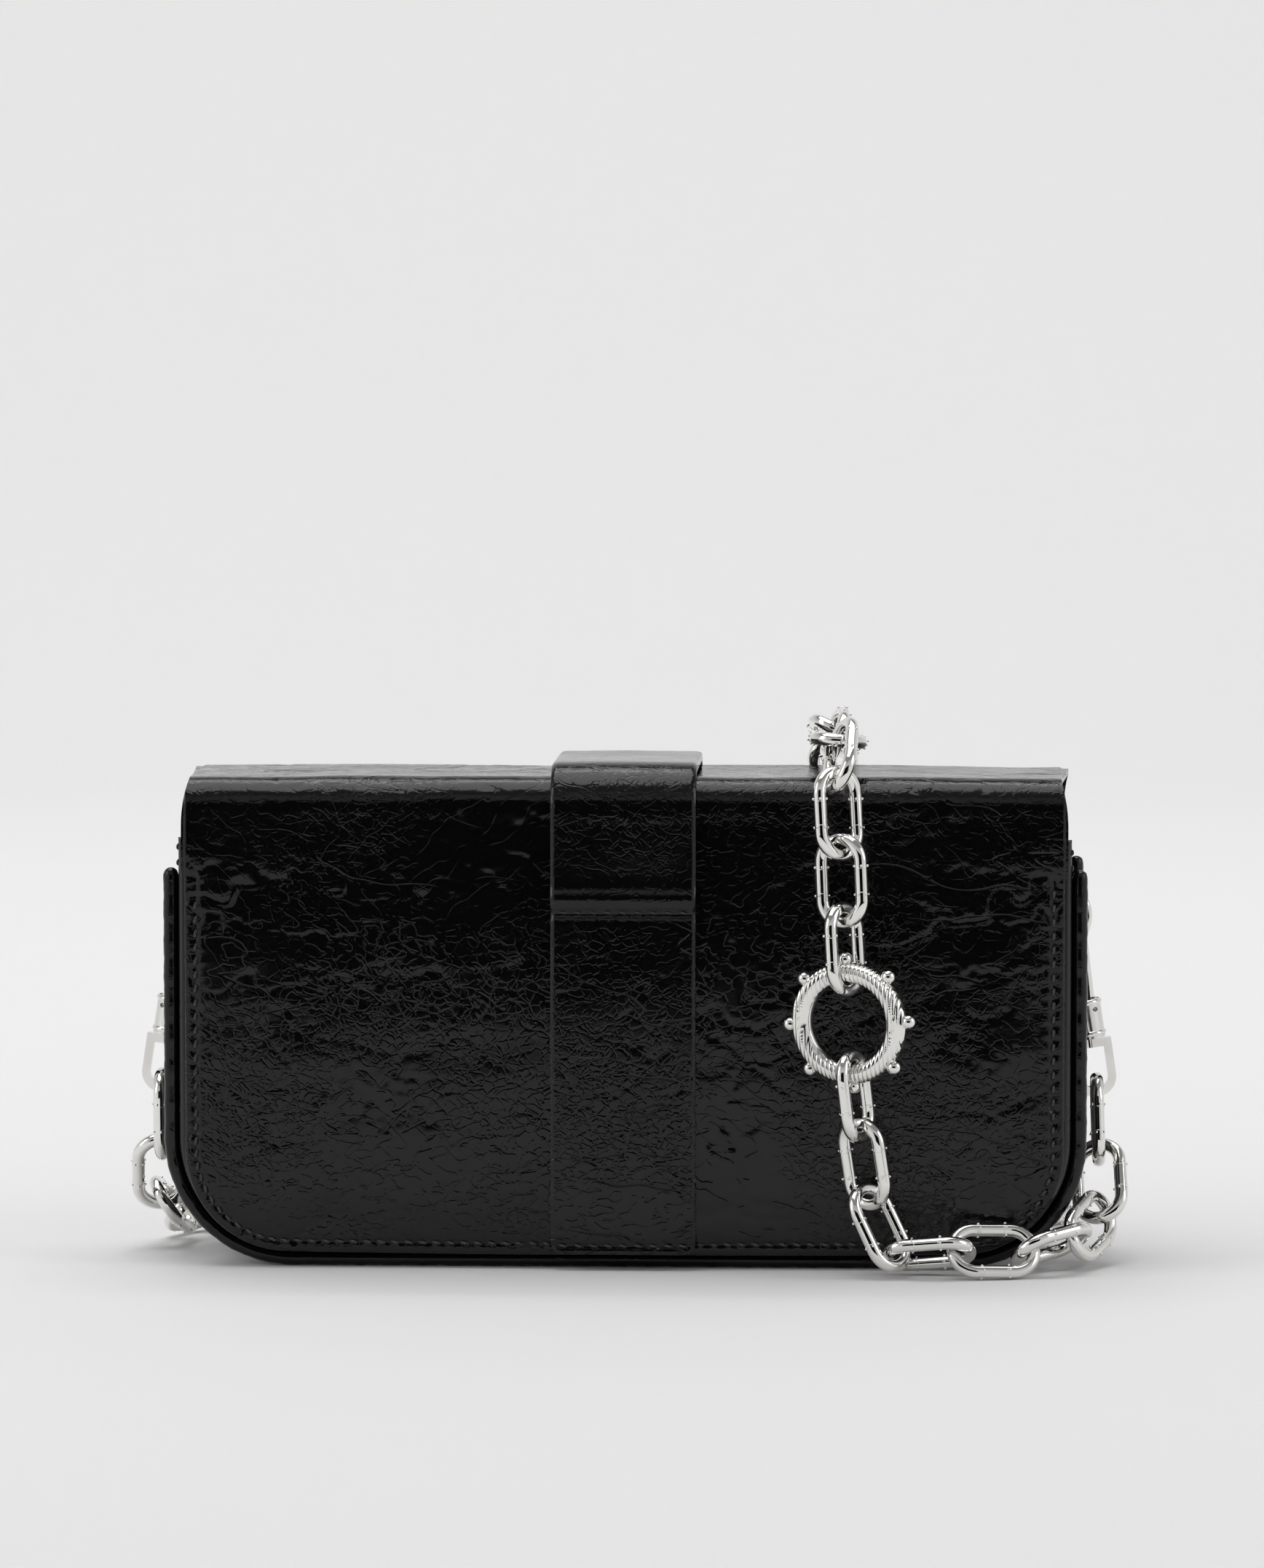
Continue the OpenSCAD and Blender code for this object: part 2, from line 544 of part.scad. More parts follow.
// Stirrup that the chain hangs in, on a headed shank that turns in the barrel
module swivel_eye() clasp_place() {
    translate([0, 0, eye_top - eye_t]) cylinder(d = shank_d, h = eye_t + neck + gap + head_t);
    translate([0, 0, barrel_end + neck + gap]) cylinder(d = head_d, h = head_t);
    translate([0, eye_depth / 2, eye_top]) rotate([90, 0, 0]) linear_extrude(eye_depth) difference() {
        union() {
            translate([-eye_w / 2, eye_w / 2 - eye_l]) square([eye_w, eye_l - eye_w / 2]);
            translate([0, eye_w / 2 - eye_l]) circle(d = eye_w);
        }
        translate([eye_t - eye_w / 2, eye_w / 2 - eye_l])
            square([eye_w - 2 * eye_t, eye_l - eye_w / 2 - eye_t]);
        translate([0, eye_w / 2 - eye_l]) circle(d = eye_w - 2 * eye_t);
    }
}
module swivel_eye_right() color("#d8dade") swivel_eye();
module swivel_eye_left() color("#d8dade") mirror([1, 0, 0]) swivel_eye();

// One link in the XY plane, its length along Y
module link() {
    for (side = [-1, 1]) {
        translate([side * bend_r, side_l / 2, 0]) rotate([90, 0, 0]) cylinder(d = wire_d, h = side_l);
        translate([0, side * side_l / 2, 0]) rotate([0, 0, side > 0 ? 0 : 180])
            rotate_extrude(angle = 180) translate([bend_r, 0]) circle(d = wire_d);
    }
}
module posed(p) {
    n = cross(p[2], p[1]);
    multmatrix([[p[2][0], p[1][0], n[0], p[0][0]], [p[2][1], p[1][1], n[1], p[0][1]],
        [p[2][2], p[1][2], n[2], p[0][2]], [0, 0, 0, 1]]) children();
}
module links(list, from, to) color("#d8dade") for (k = [from:to]) posed(list[k]) link();

module ornament_ring() color("#d8dade") posed(chain[ring_at]) {
    rotate_extrude() translate([ring_r, 0]) circle(d = ring_d);
    for (k = [0:stud_count - 1]) rotate([0, 0, k * 360 / stud_count])
        translate([stud_at, 0, 0]) sphere(d = stud_d);
}
module chain_right_drop() links(chain, 0, 2);
module chain_floor_back() links(chain, 3, 5);
module chain_back_lower() links(chain, 6, 8);
module chain_back_upper() links(chain, 10, 12);
module chain_over_top() links(chain, 13, 16);
module chain_front() links(chain, 17, 21);
module chain_front_low() links(chain, 22, 24);
module chain_floor_turn() links(chain, 25, run_at - 1);
module chain_floor_run_right() links(chain, run_at, run_at + run_part - 1);
module chain_floor_run() links(chain, run_at + run_part, run_at + 2 * run_part - 1);
module chain_floor_run_left() links(chain, run_at + 2 * run_part, len(chain) - 1);
module chain_floor_left() links(left_chain, 3, 5);
module chain_left_drop() links(left_chain, 0, 2);

back_panel();
front_panel();
gusset();
back_piping();
front_piping();
back_cover();
flap();
flap_lining();
strap_band_back();
strap_band_top();
strap_tongue();
back_stiffener();
front_stiffener();
base_board();
lining();
slip_pocket();
snap_female();
snap_male();
snap_washer();
d_tab_right();
d_tab_left();
d_ring_right();
d_ring_left();
hook_right();
hook_left();
gate_right();
gate_left();
gate_pin_right();
gate_pin_left();
gate_spring_right();
gate_spring_left();
swivel_eye_right();
swivel_eye_left();
ornament_ring();
chain_right_drop();
chain_floor_back();
chain_back_lower();
chain_back_upper();
chain_over_top();
chain_front();
chain_front_low();
chain_floor_turn();
chain_floor_run_right();
chain_floor_run();
chain_floor_run_left();
chain_floor_left();
chain_left_drop();
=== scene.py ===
import json
import math

import bmesh
import bpy
import numpy as np
from mathutils import Matrix, Vector


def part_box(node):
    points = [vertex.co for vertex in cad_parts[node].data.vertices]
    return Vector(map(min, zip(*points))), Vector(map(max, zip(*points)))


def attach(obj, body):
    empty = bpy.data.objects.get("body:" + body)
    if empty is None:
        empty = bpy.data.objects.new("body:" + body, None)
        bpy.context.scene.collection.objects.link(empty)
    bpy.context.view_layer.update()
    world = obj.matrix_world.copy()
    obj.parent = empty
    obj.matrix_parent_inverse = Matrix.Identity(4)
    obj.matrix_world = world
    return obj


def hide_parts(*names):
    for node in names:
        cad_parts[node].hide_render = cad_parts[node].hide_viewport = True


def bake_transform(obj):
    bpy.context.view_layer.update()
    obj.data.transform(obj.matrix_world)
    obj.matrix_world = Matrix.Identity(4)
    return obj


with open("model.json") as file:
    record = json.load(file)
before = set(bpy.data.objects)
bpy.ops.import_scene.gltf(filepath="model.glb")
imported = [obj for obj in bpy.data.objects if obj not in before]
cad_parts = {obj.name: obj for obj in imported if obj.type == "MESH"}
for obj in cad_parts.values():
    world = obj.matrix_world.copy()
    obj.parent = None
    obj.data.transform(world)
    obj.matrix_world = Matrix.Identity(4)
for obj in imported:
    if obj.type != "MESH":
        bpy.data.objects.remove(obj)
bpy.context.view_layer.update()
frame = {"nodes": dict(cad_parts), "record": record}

mm = 0.001
scene = bpy.context.scene

# Camera. A long lens stands a little above the bag and to its right, and looks slightly down at it,
# so that the bag sits low in a tall picture with much plain wall over it.
picture_height, lens_px = 2154, 9540
picture_middle, aim_px = (868, 1077), (857, 1400)
aim_at = Vector((0, -25, 65)) * mm
stand_off, look_down, stand_right = 1.803, math.radians(6.1), math.radians(2.4)


def direction(azimuth, elevation):
    """Unit vector from the bag towards a place seen at that angle, azimuth 0 being -Y."""
    flat = math.cos(elevation)
    return Vector((math.sin(azimuth) * flat, -math.cos(azimuth) * flat, math.sin(elevation)))


lens = bpy.data.cameras.new("camera")
lens.sensor_width = 36
lens.lens = lens_px * lens.sensor_width / picture_height
lens.clip_start, lens.clip_end = 0.05, 50
camera = bpy.data.objects.new("camera", lens)
scene.collection.objects.link(camera)
camera.location = aim_at + stand_off * direction(stand_right, look_down)
turn_left = math.atan((picture_middle[0] - aim_px[0]) / lens_px)
tilt_up = math.atan((aim_px[1] - picture_middle[1]) / lens_px)
facing = -direction(stand_right - turn_left, look_down - tilt_up)
camera.rotation_mode = "QUATERNION"
camera.rotation_quaternion = facing.to_track_quat("-Z", "Y")
scene.camera = camera
scene.view_settings.view_transform = "Standard"


# Floor and backdrop. One pale round sweep of paper stands for both: flat under the bag, curving up
# into a wall on every side, so that the bag stands on plain pale ground from wherever it is seen.
sweep_flat, sweep_curve, sweep_wall = 1.7, 1.3, 3.2


def new_piece(name, points, faces, smooth=True):
    """A mesh object made of points in metres and faces given as point numbers."""
    mesh = bpy.data.meshes.new(name)
    mesh.from_pydata([tuple(p) for p in points], [], [tuple(int(i) for i in f) for f in faces])
    mesh.validate()
    mesh.polygons.foreach_set("use_smooth", [smooth] * len(mesh.polygons))
    mesh.update()
    piece = bpy.data.objects.new(name, mesh)
    scene.collection.objects.link(piece)
    return piece


def new_material(name, colour, roughness, metallic=0.0, specular=0.5):
    """A material with one Principled shader, and its node tree to add detail to."""
    material = bpy.data.materials.new(name)
    material.use_nodes = True
    shader = material.node_tree.nodes["Principled BSDF"]
    shader.inputs["Base Color"].default_value = (*colour, 1)
    shader.inputs["Roughness"].default_value = roughness
    shader.inputs["Metallic"].default_value = metallic
    shader.inputs["Specular IOR Level"].default_value = specular
    return material, material.node_tree, shader


def add_node(tree, kind, **inputs):
    """A shader node with its inputs set by name, where an underscore stands for a space."""
    node = tree.nodes.new("ShaderNode" + kind)
    for name, value in inputs.items():
        node.inputs[name.replace("_", " ")].default_value = value
    return node


def link_all(tree, pairs):
    for a, b in pairs:
        tree.links.new(a, b)


def join_rings(rings, sides, base=0, closed=False):
    """Faces between rings of points that follow one another, the first point numbered base."""
    return [(base + i * sides + k, base + i * sides + (k + 1) % sides,
             base + (i + 1) % rings * sides + (k + 1) % sides, base + (i + 1) % rings * sides + k)
            for i in range(rings if closed else rings - 1) for k in range(sides)]


def revolve(profile, count):
    """Points and faces of a profile of (radius, height) turned round the Z axis."""
    angles = np.arange(count) * 2 * np.pi / count
    points = [(r * math.cos(a), r * math.sin(a), z) for r, z in profile for a in angles]
    return points, join_rings(len(profile), count)


bend = np.linspace(0, math.pi / 2, 24)
sweep_profile = [(0.001, 0), (0.4, 0), (0.9, 0)]
sweep_profile += [(sweep_flat + sweep_curve * math.sin(a), sweep_curve * (1 - math.cos(a))) for a in bend]
sweep_profile += [(sweep_flat + sweep_curve, sweep_wall)]
paper_sweep = new_piece("paper_sweep", *revolve(sweep_profile, 96))
paper, paper_tree, paper_shader = new_material("pale_paper", (0.80, 0.80, 0.80), 0.9, specular=0.1)
paper_fleck = add_node(paper_tree, "TexNoise", Scale=3)
paper_tint = add_node(paper_tree, "MapRange", To_Min=0.795, To_Max=0.805)
link_all(paper_tree, [(paper_fleck.outputs["Fac"], paper_tint.inputs["Value"]),
                      (paper_tint.outputs["Result"], paper_shader.inputs["Base Color"])])
paper_sweep.data.materials.append(paper)


# Studio light. A broad soft box hangs over the bag, two weaker ones stand at the sides, and dark
# cards stand in front. The cards are seen only in the gloss of the leather and the metal.
def soft_box(name, place, size, power, aim=(0, 0, 0.06), colour=(1, 1, 1)):
    light = bpy.data.lights.new(name, "AREA")
    light.shape = "RECTANGLE"
    light.size, light.size_y = size
    light.energy = power
    light.color = colour
    lamp = bpy.data.objects.new(name, light)
    lamp.location = place
    lamp.rotation_mode = "QUATERNION"
    lamp.rotation_quaternion = (Vector(aim) - Vector(place)).to_track_quat("-Z", "Y")
    scene.collection.objects.link(lamp)
    return lamp


soft_box("overhead", (-0.3, 0.2, 2.6), (2.4, 2.0), 38)
soft_box("wall_wash", (0, 0.9, 2.5), (2.6, 0.7), 18, aim=(0, 3.0, 0.9))
soft_box("left_fill", (-2.3, -0.9, 1.3), (1.0, 1.6), 12)
soft_box("right_fill", (2.3, -0.7, 1.3), (1.0, 1.6), 10)

card_black, _, _ = new_material("black_card", (0.004, 0.004, 0.004), 0.9, specular=0)


def dark_card(name, corners):
    card = new_piece(name, corners, [(0, 1, 2, 3)])
    card.data.materials.append(card_black)
    card.visible_camera = card.visible_diffuse = card.visible_shadow = False


floor_card_from, card_far, card_half, card_top = -0.62, -1.69, 0.8, 0.9
dark_card("floor_card", [(-card_half, floor_card_from, 0.004), (card_half, floor_card_from, 0.004),
                         (card_half, card_far, 0.004), (-card_half, card_far, 0.004)])
dark_card("front_card", [(-card_half, card_far, 0), (card_half, card_far, 0),
                         (card_half, card_far, card_top), (-card_half, card_far, card_top)])

world = bpy.data.worlds.new("studio")
world.use_nodes = True
world.node_tree.nodes["Background"].inputs["Color"].default_value = (1, 1, 1, 1)
world.node_tree.nodes["Background"].inputs["Strength"].default_value = 0.25
scene.world = world


# Crinkled leather. One hide of black calf with a thick glossy finish is cut for the cover, the flap
# and the band. Its creases run in nets and long lines, and the finish is worn smooth between them.
def new_group(name, outputs, **inputs):
    """A shader group with a Vector input and the inputs given, and the two ends inside it."""
    tree = bpy.data.node_groups.new(name, "ShaderNodeTree")
    for title, value in {"Vector": (0, 0, 0), **inputs}.items():
        kind = "NodeSocketFloat" if isinstance(value, (int, float)) else "NodeSocketVector"
        tree.interface.new_socket(name=title, in_out="INPUT", socket_type=kind).default_value = value
    for title in outputs:
        tree.interface.new_socket(name=title, in_out="OUTPUT", socket_type="NodeSocketFloat")
    inside, outside = tree.nodes.new("NodeGroupInput"), tree.nodes.new("NodeGroupOutput")
    return tree, inside.outputs, outside.inputs


def math_node(tree, operation, *values):
    node = add_node(tree, "Math")
    node.operation = operation
    for k, value in enumerate(values):
        if isinstance(value, (int, float)):
            node.inputs[k].default_value = value
        else:
            tree.links.new(value, node.inputs[k])
    return node.outputs[0]


def crease_group():
    """Shader group: crease lines of one size and direction, 1 in the crease and 0 between."""
    tree, given, out = new_group("crease_lines", ["Crease"], Angle=0, Stretch=(1, 1, 1), Scale=100,
                                 Width=0.05, Detail=3)
    turn, stretch = add_node(tree, "VectorRotate"), add_node(tree, "VectorMath")
    turn.rotation_type, stretch.operation = "Z_AXIS", "MULTIPLY"
    noise = add_node(tree, "TexNoise", Roughness=0.55)
    away = math_node(tree, "ABSOLUTE", math_node(tree, "SUBTRACT", noise.outputs["Fac"], 0.5))
    line = add_node(tree, "MapRange", To_Min=1, To_Max=0)
    line.interpolation_type = "SMOOTHSTEP"
    link_all(tree, [(given["Vector"], turn.inputs["Vector"]), (given["Angle"], turn.inputs["Angle"]),
                    (turn.outputs["Vector"], stretch.inputs[0]), (given["Stretch"], stretch.inputs[1]),
                    (stretch.outputs["Vector"], noise.inputs["Vector"]),
                    (given["Scale"], noise.inputs["Scale"]), (given["Detail"], noise.inputs["Detail"]),
                    (away, line.inputs["Value"]), (given["Width"], line.inputs["From Max"]),
                    (line.outputs["Result"], out["Crease"])])
    return tree


def grain_group():
    """Shader group: the even grain of a dressed hide, a soft cloud of tone, and a net of small cracks."""
    tree, given, out = new_group("hide_grain", ["Grain", "Cloud", "Net"], Scale=1500)
    wander, shift = add_node(tree, "TexNoise", Scale=160, Detail=3), add_node(tree, "VectorMath")
    shift.operation = "MULTIPLY_ADD"
    shift.inputs[1].default_value = (0.007, 0.005, 0)
    net = add_node(tree, "TexVoronoi", Scale=360)
    net.feature = "DISTANCE_TO_EDGE"
    net_line = add_node(tree, "MapRange", From_Max=0.13, To_Min=1, To_Max=0)
    net_line.interpolation_type = "SMOOTHSTEP"
    cells = add_node(tree, "TexVoronoi")
    cells.feature = "SMOOTH_F1"
    cloud = add_node(tree, "TexNoise", Scale=45, Detail=4)
    link_all(tree, [(given["Vector"], node.inputs["Vector"]) for node in (wander, cells, cloud)])
    link_all(tree, [(wander.outputs["Color"], shift.inputs[0]), (given["Vector"], shift.inputs[2]),
                    (shift.outputs["Vector"], net.inputs["Vector"]),
                    (net.outputs["Distance"], net_line.inputs["Value"]),
                    (net_line.outputs["Result"], out["Net"]), (cells.outputs["Distance"], out["Grain"]),
                    (given["Scale"], cells.inputs["Scale"]), (cloud.outputs["Fac"], out["Cloud"])])
    return tree


crease_lines, hide_grain = crease_group(), grain_group()


def place_group(tree, group, vector, **values):
    node = add_node(tree, "Group")
    node.node_tree = group
    tree.links.new(vector, node.inputs["Vector"])
    for name, value in values.items():
        node.inputs[name].default_value = value
    return node


def patches(tree, vector, scale, low, high, seed):
    """Value from 0 to 1 that says where on the hide one net of creases is strong."""
    noise = add_node(tree, "TexNoise", Scale=scale, Detail=1.5)
    noise.noise_dimensions = "4D"
    noise.inputs["W"].default_value = seed
    area = add_node(tree, "MapRange", From_Min=low, From_Max=high)
    area.interpolation_type = "SMOOTHSTEP"
    link_all(tree, [(vector, noise.inputs["Vector"]), (noise.outputs["Fac"], area.inputs["Value"])])
    return area.outputs["Result"]


def flat_vector(tree, by_attribute):
    """The hide's own flat coordinates: stored on pieces that bend, and X and Z on the others."""
    if by_attribute:
        node = add_node(tree, "Attribute")
        node.attribute_name = "flat"
        return node.outputs["Vector"]
    turn = add_node(tree, "VectorRotate", Angle=-math.pi / 2)
    turn.rotation_type = "X_AXIS"
    tree.links.new(add_node(tree, "TexCoord").outputs["Object"], turn.inputs["Vector"])
    return turn.outputs["Vector"]


def bumped(tree, shader, value, depth):
    """Raises a value as relief of a depth in metres."""
    bump = add_node(tree, "Bump", Strength=1, Distance=depth)
    link_all(tree, [(value, bump.inputs["Height"]), (bump.outputs["Normal"], shader.inputs["Normal"])])


def clouded(tree, shader, cloud, low, high, from_min=0.3, from_max=0.7):
    """Lets the roughness follow a soft cloud, between a low and a high value."""
    rough = add_node(tree, "MapRange", From_Min=from_min, From_Max=from_max, To_Min=low, To_Max=high)
    link_all(tree, [(cloud, rough.inputs["Value"]), (rough.outputs["Result"], shader.inputs["Roughness"])])


def crinkled_leather(name, by_attribute, depth):
    material, tree, shader = new_material(name, (0.0022, 0.0022, 0.0024), 0.16, specular=0.36)
    flat = flat_vector(tree, by_attribute)
    # direction, stretch along it, creases per metre, width, detail, weight, and patch scale, low, high, seed
    nets = [(0.15, (0.35, 1, 1), 46, 0.008, 2.5, 0.9, 14, 0.46, 0.62, 1.3),
            (0.75, (0.5, 1, 1), 90, 0.014, 2.0, 0.45, 17, 0.48, 0.62, 4.1),
            (-0.7, (0.5, 1, 1), 96, 0.014, 2.0, 0.4, 15, 0.48, 0.64, 7.7),
            (0.35, (0.65, 1, 1), 210, 0.030, 1.5, 0.45, 20, 0.40, 0.60, 2.9),
            (-0.45, (0.7, 1, 1), 240, 0.030, 1.5, 0.40, 19, 0.44, 0.62, 9.2)]
    height = 0
    for angle, stretch, scale, width, detail, weight, *patch in nets:
        lines = place_group(tree, crease_lines, flat, Angle=angle, Stretch=stretch, Scale=scale,
                            Width=width, Detail=detail)
        strong = math_node(tree, "MULTIPLY", lines.outputs["Crease"], patches(tree, flat, *patch))
        height = math_node(tree, "ADD", height, math_node(tree, "MULTIPLY", strong, -weight))
    grain = place_group(tree, hide_grain, flat, Scale=1400)
    worn_net = math_node(tree, "MULTIPLY", grain.outputs["Net"], patches(tree, flat, 24, 0.38, 0.62, 5.5))
    for value, weight in ((worn_net, -0.42), (grain.outputs["Grain"], 0.05), (grain.outputs["Cloud"], 0.6)):
        height = math_node(tree, "ADD", height, math_node(tree, "MULTIPLY", value, weight))
    # The creases are shallower towards the top, where nothing under the leather is padded
    split = add_node(tree, "SeparateXYZ")
    calm = add_node(tree, "MapRange", From_Min=0.068, From_Max=0.095, To_Min=1, To_Max=0.5)
    link_all(tree, [(flat, split.inputs["Vector"]), (split.outputs["Y"], calm.inputs["Value"])])
    bumped(tree, shader, math_node(tree, "MULTIPLY", height, calm.outputs["Result"]), depth)
    clouded(tree, shader, grain.outputs["Cloud"], 0.10, 0.17)
    return material


hide = crinkled_leather("crinkled_leather", True, 0.00015)


# Cover and flap. One piece of leather is sewn on the back, bends over the top edges and closes the
# front. Its raw edge is painted, and a thread follows it 3 mm in on the back and on the flap.
back_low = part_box("back_cover")[0]
flap_low, flap_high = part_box("flap")
leather_t, fold_r, cover_r = 1.6 * mm, 8 * mm, 26.5 * mm
cover_y, flap_y = -back_low.y, flap_high.y
cover_z, flap_z, top_z = back_low.z, flap_low.z, flap_high.z
half_cover = flap_high.x
fold_z = top_z - fold_r
seam_top = 102 * mm
seam_in, stitch_pitch = 2.9 * mm, 3.6 * mm
top_flat = cover_y + flap_y - 2 * fold_r
quarter = fold_r * math.pi / 2
stretches = [fold_z - cover_z, quarter, top_flat, quarter, fold_z - flap_z]
turns = np.cumsum([0] + stretches)
hide_length = turns[-1]


def hills(u, v, size, seed):
    """Smooth random hills about `size` across, from -1 to 1, over arrays of flat coordinates."""
    random = np.random.default_rng(seed)
    slope = random.uniform(0, 2 * np.pi, (64, 64))
    x, y = u / size, v / size
    i, j = np.floor(x).astype(int), np.floor(y).astype(int)
    fx, fy = x - i, y - j

    def corner(a, b):
        way = slope[(i + a) % 64, (j + b) % 64]
        return np.cos(way) * (fx - a) + np.sin(way) * (fy - b)

    sx, sy = fx * fx * (3 - 2 * fx), fy * fy * (3 - 2 * fy)
    low = corner(0, 0) * (1 - sx) + corner(1, 0) * sx
    high = corner(0, 1) * (1 - sx) + corner(1, 1) * sx
    return 1.5 * (low * (1 - sy) + high * sy)


def creases(u, v, size, angle, stretch, width, seed):
    """Long thin lines that wander across the hide, 1 in the line and 0 beside it."""
    c, s = math.cos(angle), math.sin(angle)
    a, b = (c * u + s * v) * stretch, c * v - s * u
    a = a + 0.25 * size * hills(u, v, size * 0.45, seed + 50)
    b = b + 0.18 * size * hills(u, v, size * 0.3, seed + 60)
    near = np.abs(hills(a, b, size, seed)) / width
    return np.clip(1 - near, 0, 1) ** 2 * (3 - 2 * np.clip(1 - near, 0, 1))


def bell(x, middle, width):
    return np.exp(-(((x - middle) / width) ** 2))


def hide_line(s):
    """Depth, height and slope angle of the hide's outer side at a length s from its back bottom edge."""
    s = np.asarray(s, float)
    y, z, way = np.zeros_like(s), np.zeros_like(s), np.zeros_like(s)
    part = np.clip(np.searchsorted(turns, s, side="right") - 1, 0, 4)
    run = s - turns[part]
    angle = np.clip(run / fold_r, 0, math.pi / 2)
    for k, (py, pz, pw) in enumerate([
            (-cover_y + 0 * run, cover_z + run, np.pi + 0 * run),
            (-cover_y + fold_r - fold_r * np.cos(angle), fold_z + fold_r * np.sin(angle), np.pi - angle),
            (-cover_y + fold_r + run, top_z + 0 * run, np.pi / 2 + 0 * run),
            (flap_y - fold_r + fold_r * np.sin(angle), fold_z + fold_r * np.cos(angle), np.pi / 2 - angle),
            (flap_y + 0 * run, fold_z - run, 0 * run)]):
        here = part == k
        y[here], z[here], way[here] = py[here], pz[here], pw[here]
    return y, z, way


def half_width(s):
    """Half the hide's width at length s: round corners at both ends, and a slight flare over the seam."""
    z = hide_line(s)[1]
    end = np.minimum(s, hide_length - s)
    inside = np.clip(cover_r - end, 0, cover_r)
    corner = cover_r - np.sqrt(np.maximum(cover_r ** 2 - inside ** 2, 0))
    flare = 0.8 * mm * np.clip((z - seam_top + 1 * mm) / (3 * mm), 0, 1)
    narrow = 1.7 * mm * np.clip((z - 115 * mm) / (12 * mm), 0, 1) ** 2
    # Narrower over the back's fold than over the front's
    narrow = narrow * np.clip(1 - 1.6 * (s - turns[2]) / top_flat, -0.6, 1)
    return half_cover - corner + flare - narrow


def edge_place(x, s):
    """Distance from the hide's edge and length along that edge, measured from the bottom middle."""
    end = np.minimum(s, hide_length - s)
    side = half_cover - np.abs(x)
    in_corner = (side < cover_r) & (end < cover_r)
    out = np.hypot(cover_r - side, cover_r - end)
    distance = np.where(in_corner, cover_r - out, np.minimum(side, end))
    straight = half_cover - cover_r
    sweep = np.arctan2(cover_r - side, np.maximum(cover_r - end, 1e-9))
    along_bottom = np.abs(x)
    along_side = straight + cover_r * math.pi / 2 + (end - cover_r)
    in_turn = straight + cover_r * sweep
    along = np.where(in_corner, in_turn, np.where(end < side, along_bottom, along_side))
    return distance, along


swell_most, swell_middle, swell_reach = 2.0 * mm, 52 * mm, 64 * mm
pad_most, pad_margin, swell_margin, top_sink = 0.9 * mm, 16 * mm, 30 * mm, 0.5 * mm
groove_deep, groove_wide, pull_deep, pull_wide = 0.42 * mm, 0.75 * mm, 0.13 * mm, 2.4 * mm


def swell_of_back(z):
    """How far the filled bag's back swells at a height: most below the middle, nothing at the fold."""
    return swell_most * np.cos(np.clip((z - swell_middle) / swell_reach, -1, 1) * math.pi / 2)


def hide_height(x, s):
    """How far the finished hide stands off its plain line: padding, creases and the pull of the thread."""
    z = hide_line(s)[1]
    back, front = s < turns[1], s > turns[4]
    distance, along = edge_place(x, s)
    sewn = back & (z < seam_top)
    # The panel's foam fills the sewn part and leaves the leather slack over it
    slack = np.where(sewn, np.clip((seam_top - z) / (22 * mm), 0, 1), 0)
    pad = pad_most * np.clip(distance / pad_margin, 0, 1) ** 0.7 * slack
    h = np.where(back, pad + swell_of_back(z) * np.clip(distance / swell_margin, 0, 1) ** 0.5, 0)
    h = h - top_sink * np.where((s > turns[2]) & (s < turns[3]), np.sin(np.pi * (s - turns[2]) / top_flat), 0)
    h = h + 0.30 * mm * hills(x, s, 46 * mm, 3) + 0.16 * mm * hills(x, s * 1.8, 21 * mm, 4)
    h = h + 0.045 * mm * hills(x * 0.7, s, 7 * mm, 14)
    # Long creases run level from both back-tacks, others slant across the lower right
    tacks = bell(z, 90 * mm, 16 * mm) * back * (0.25 + np.clip((np.abs(x) - 25 * mm) / (70 * mm), 0, 1))
    slant = np.clip(0.45 + 0.9 * hills(x, s, 60 * mm, 17), 0, 1)
    cross = np.clip(0.4 - 0.9 * hills(x, s, 55 * mm, 27), 0, 1)
    fine = np.clip(0.5 + hills(x, s, 40 * mm, 31), 0, 1)
    for depth, where, size, angle, stretch, width, seed in (
            (0.50, tacks, 26, 0.10, 0.28, 0.075, 5), (0.32, tacks, 13, -0.05, 0.30, 0.11, 6),
            (0.24, slant, 24, 0.55, 0.40, 0.07, 7), (0.14, slant, 11, 0.6, 0.42, 0.10, 8),
            (0.20, cross, 20, -0.6, 0.42, 0.08, 9), (0.10, fine, 8, -0.2, 0.5, 0.12, 10)):
        h = h - depth * mm * where * creases(x, s, size * mm, angle, stretch, width, seed)
    # The thread sinks in a groove and gathers the leather between its holes
    beat = np.cos(2 * np.pi * along / stitch_pitch)
    thread = sewn | front
    off = distance - seam_in
    groove = groove_deep * np.exp(-((off / groove_wide) ** 2)) * (0.75 + 0.25 * beat)
    gather = pull_deep * beat * np.exp(-((off / pull_wide) ** 2)) * (0.7 + 0.6 * hills(x, s, 5 * mm, 12))
    h = np.where(thread, h - groove - gather, h)
    tack = bell(z, seam_top, 0.6 * mm) * np.clip((seam_in + 1.2 * mm - distance) / (1 * mm), 0, 1)
    h = h - 0.5 * mm * tack * (s < turns[1])
    lip = np.clip(1 - distance / (0.45 * mm), 0, 1)
    return h - 0.35 * mm * lip ** 2


def hide_point(x, s, lift=0.0):
    """Place of a point on the hide's outer side, lifted off it."""
    y, z, way = hide_line(s)
    h = hide_height(x, s) + lift
    share = np.clip(1 - np.abs(x) / half_cover, 0, 1)
    sag = -1.2 * mm * (1 - np.clip(np.abs(x) / (100 * mm), 0, 1) ** 2) * np.clip(1 - s / (30 * mm), 0, 1)
    crown = 0.5 * mm * (1 - (x / half_cover) ** 2) * (z > fold_z)
    flare = 0.6 * mm * bell(z, 109 * mm, 6 * mm) * (s < turns[1]) * np.clip(1 - share * 8, 0, 1)
    return np.stack([x, y + (h + flare) * np.cos(way), z + h * np.sin(way) + sag * 0.6 + crown], -1)


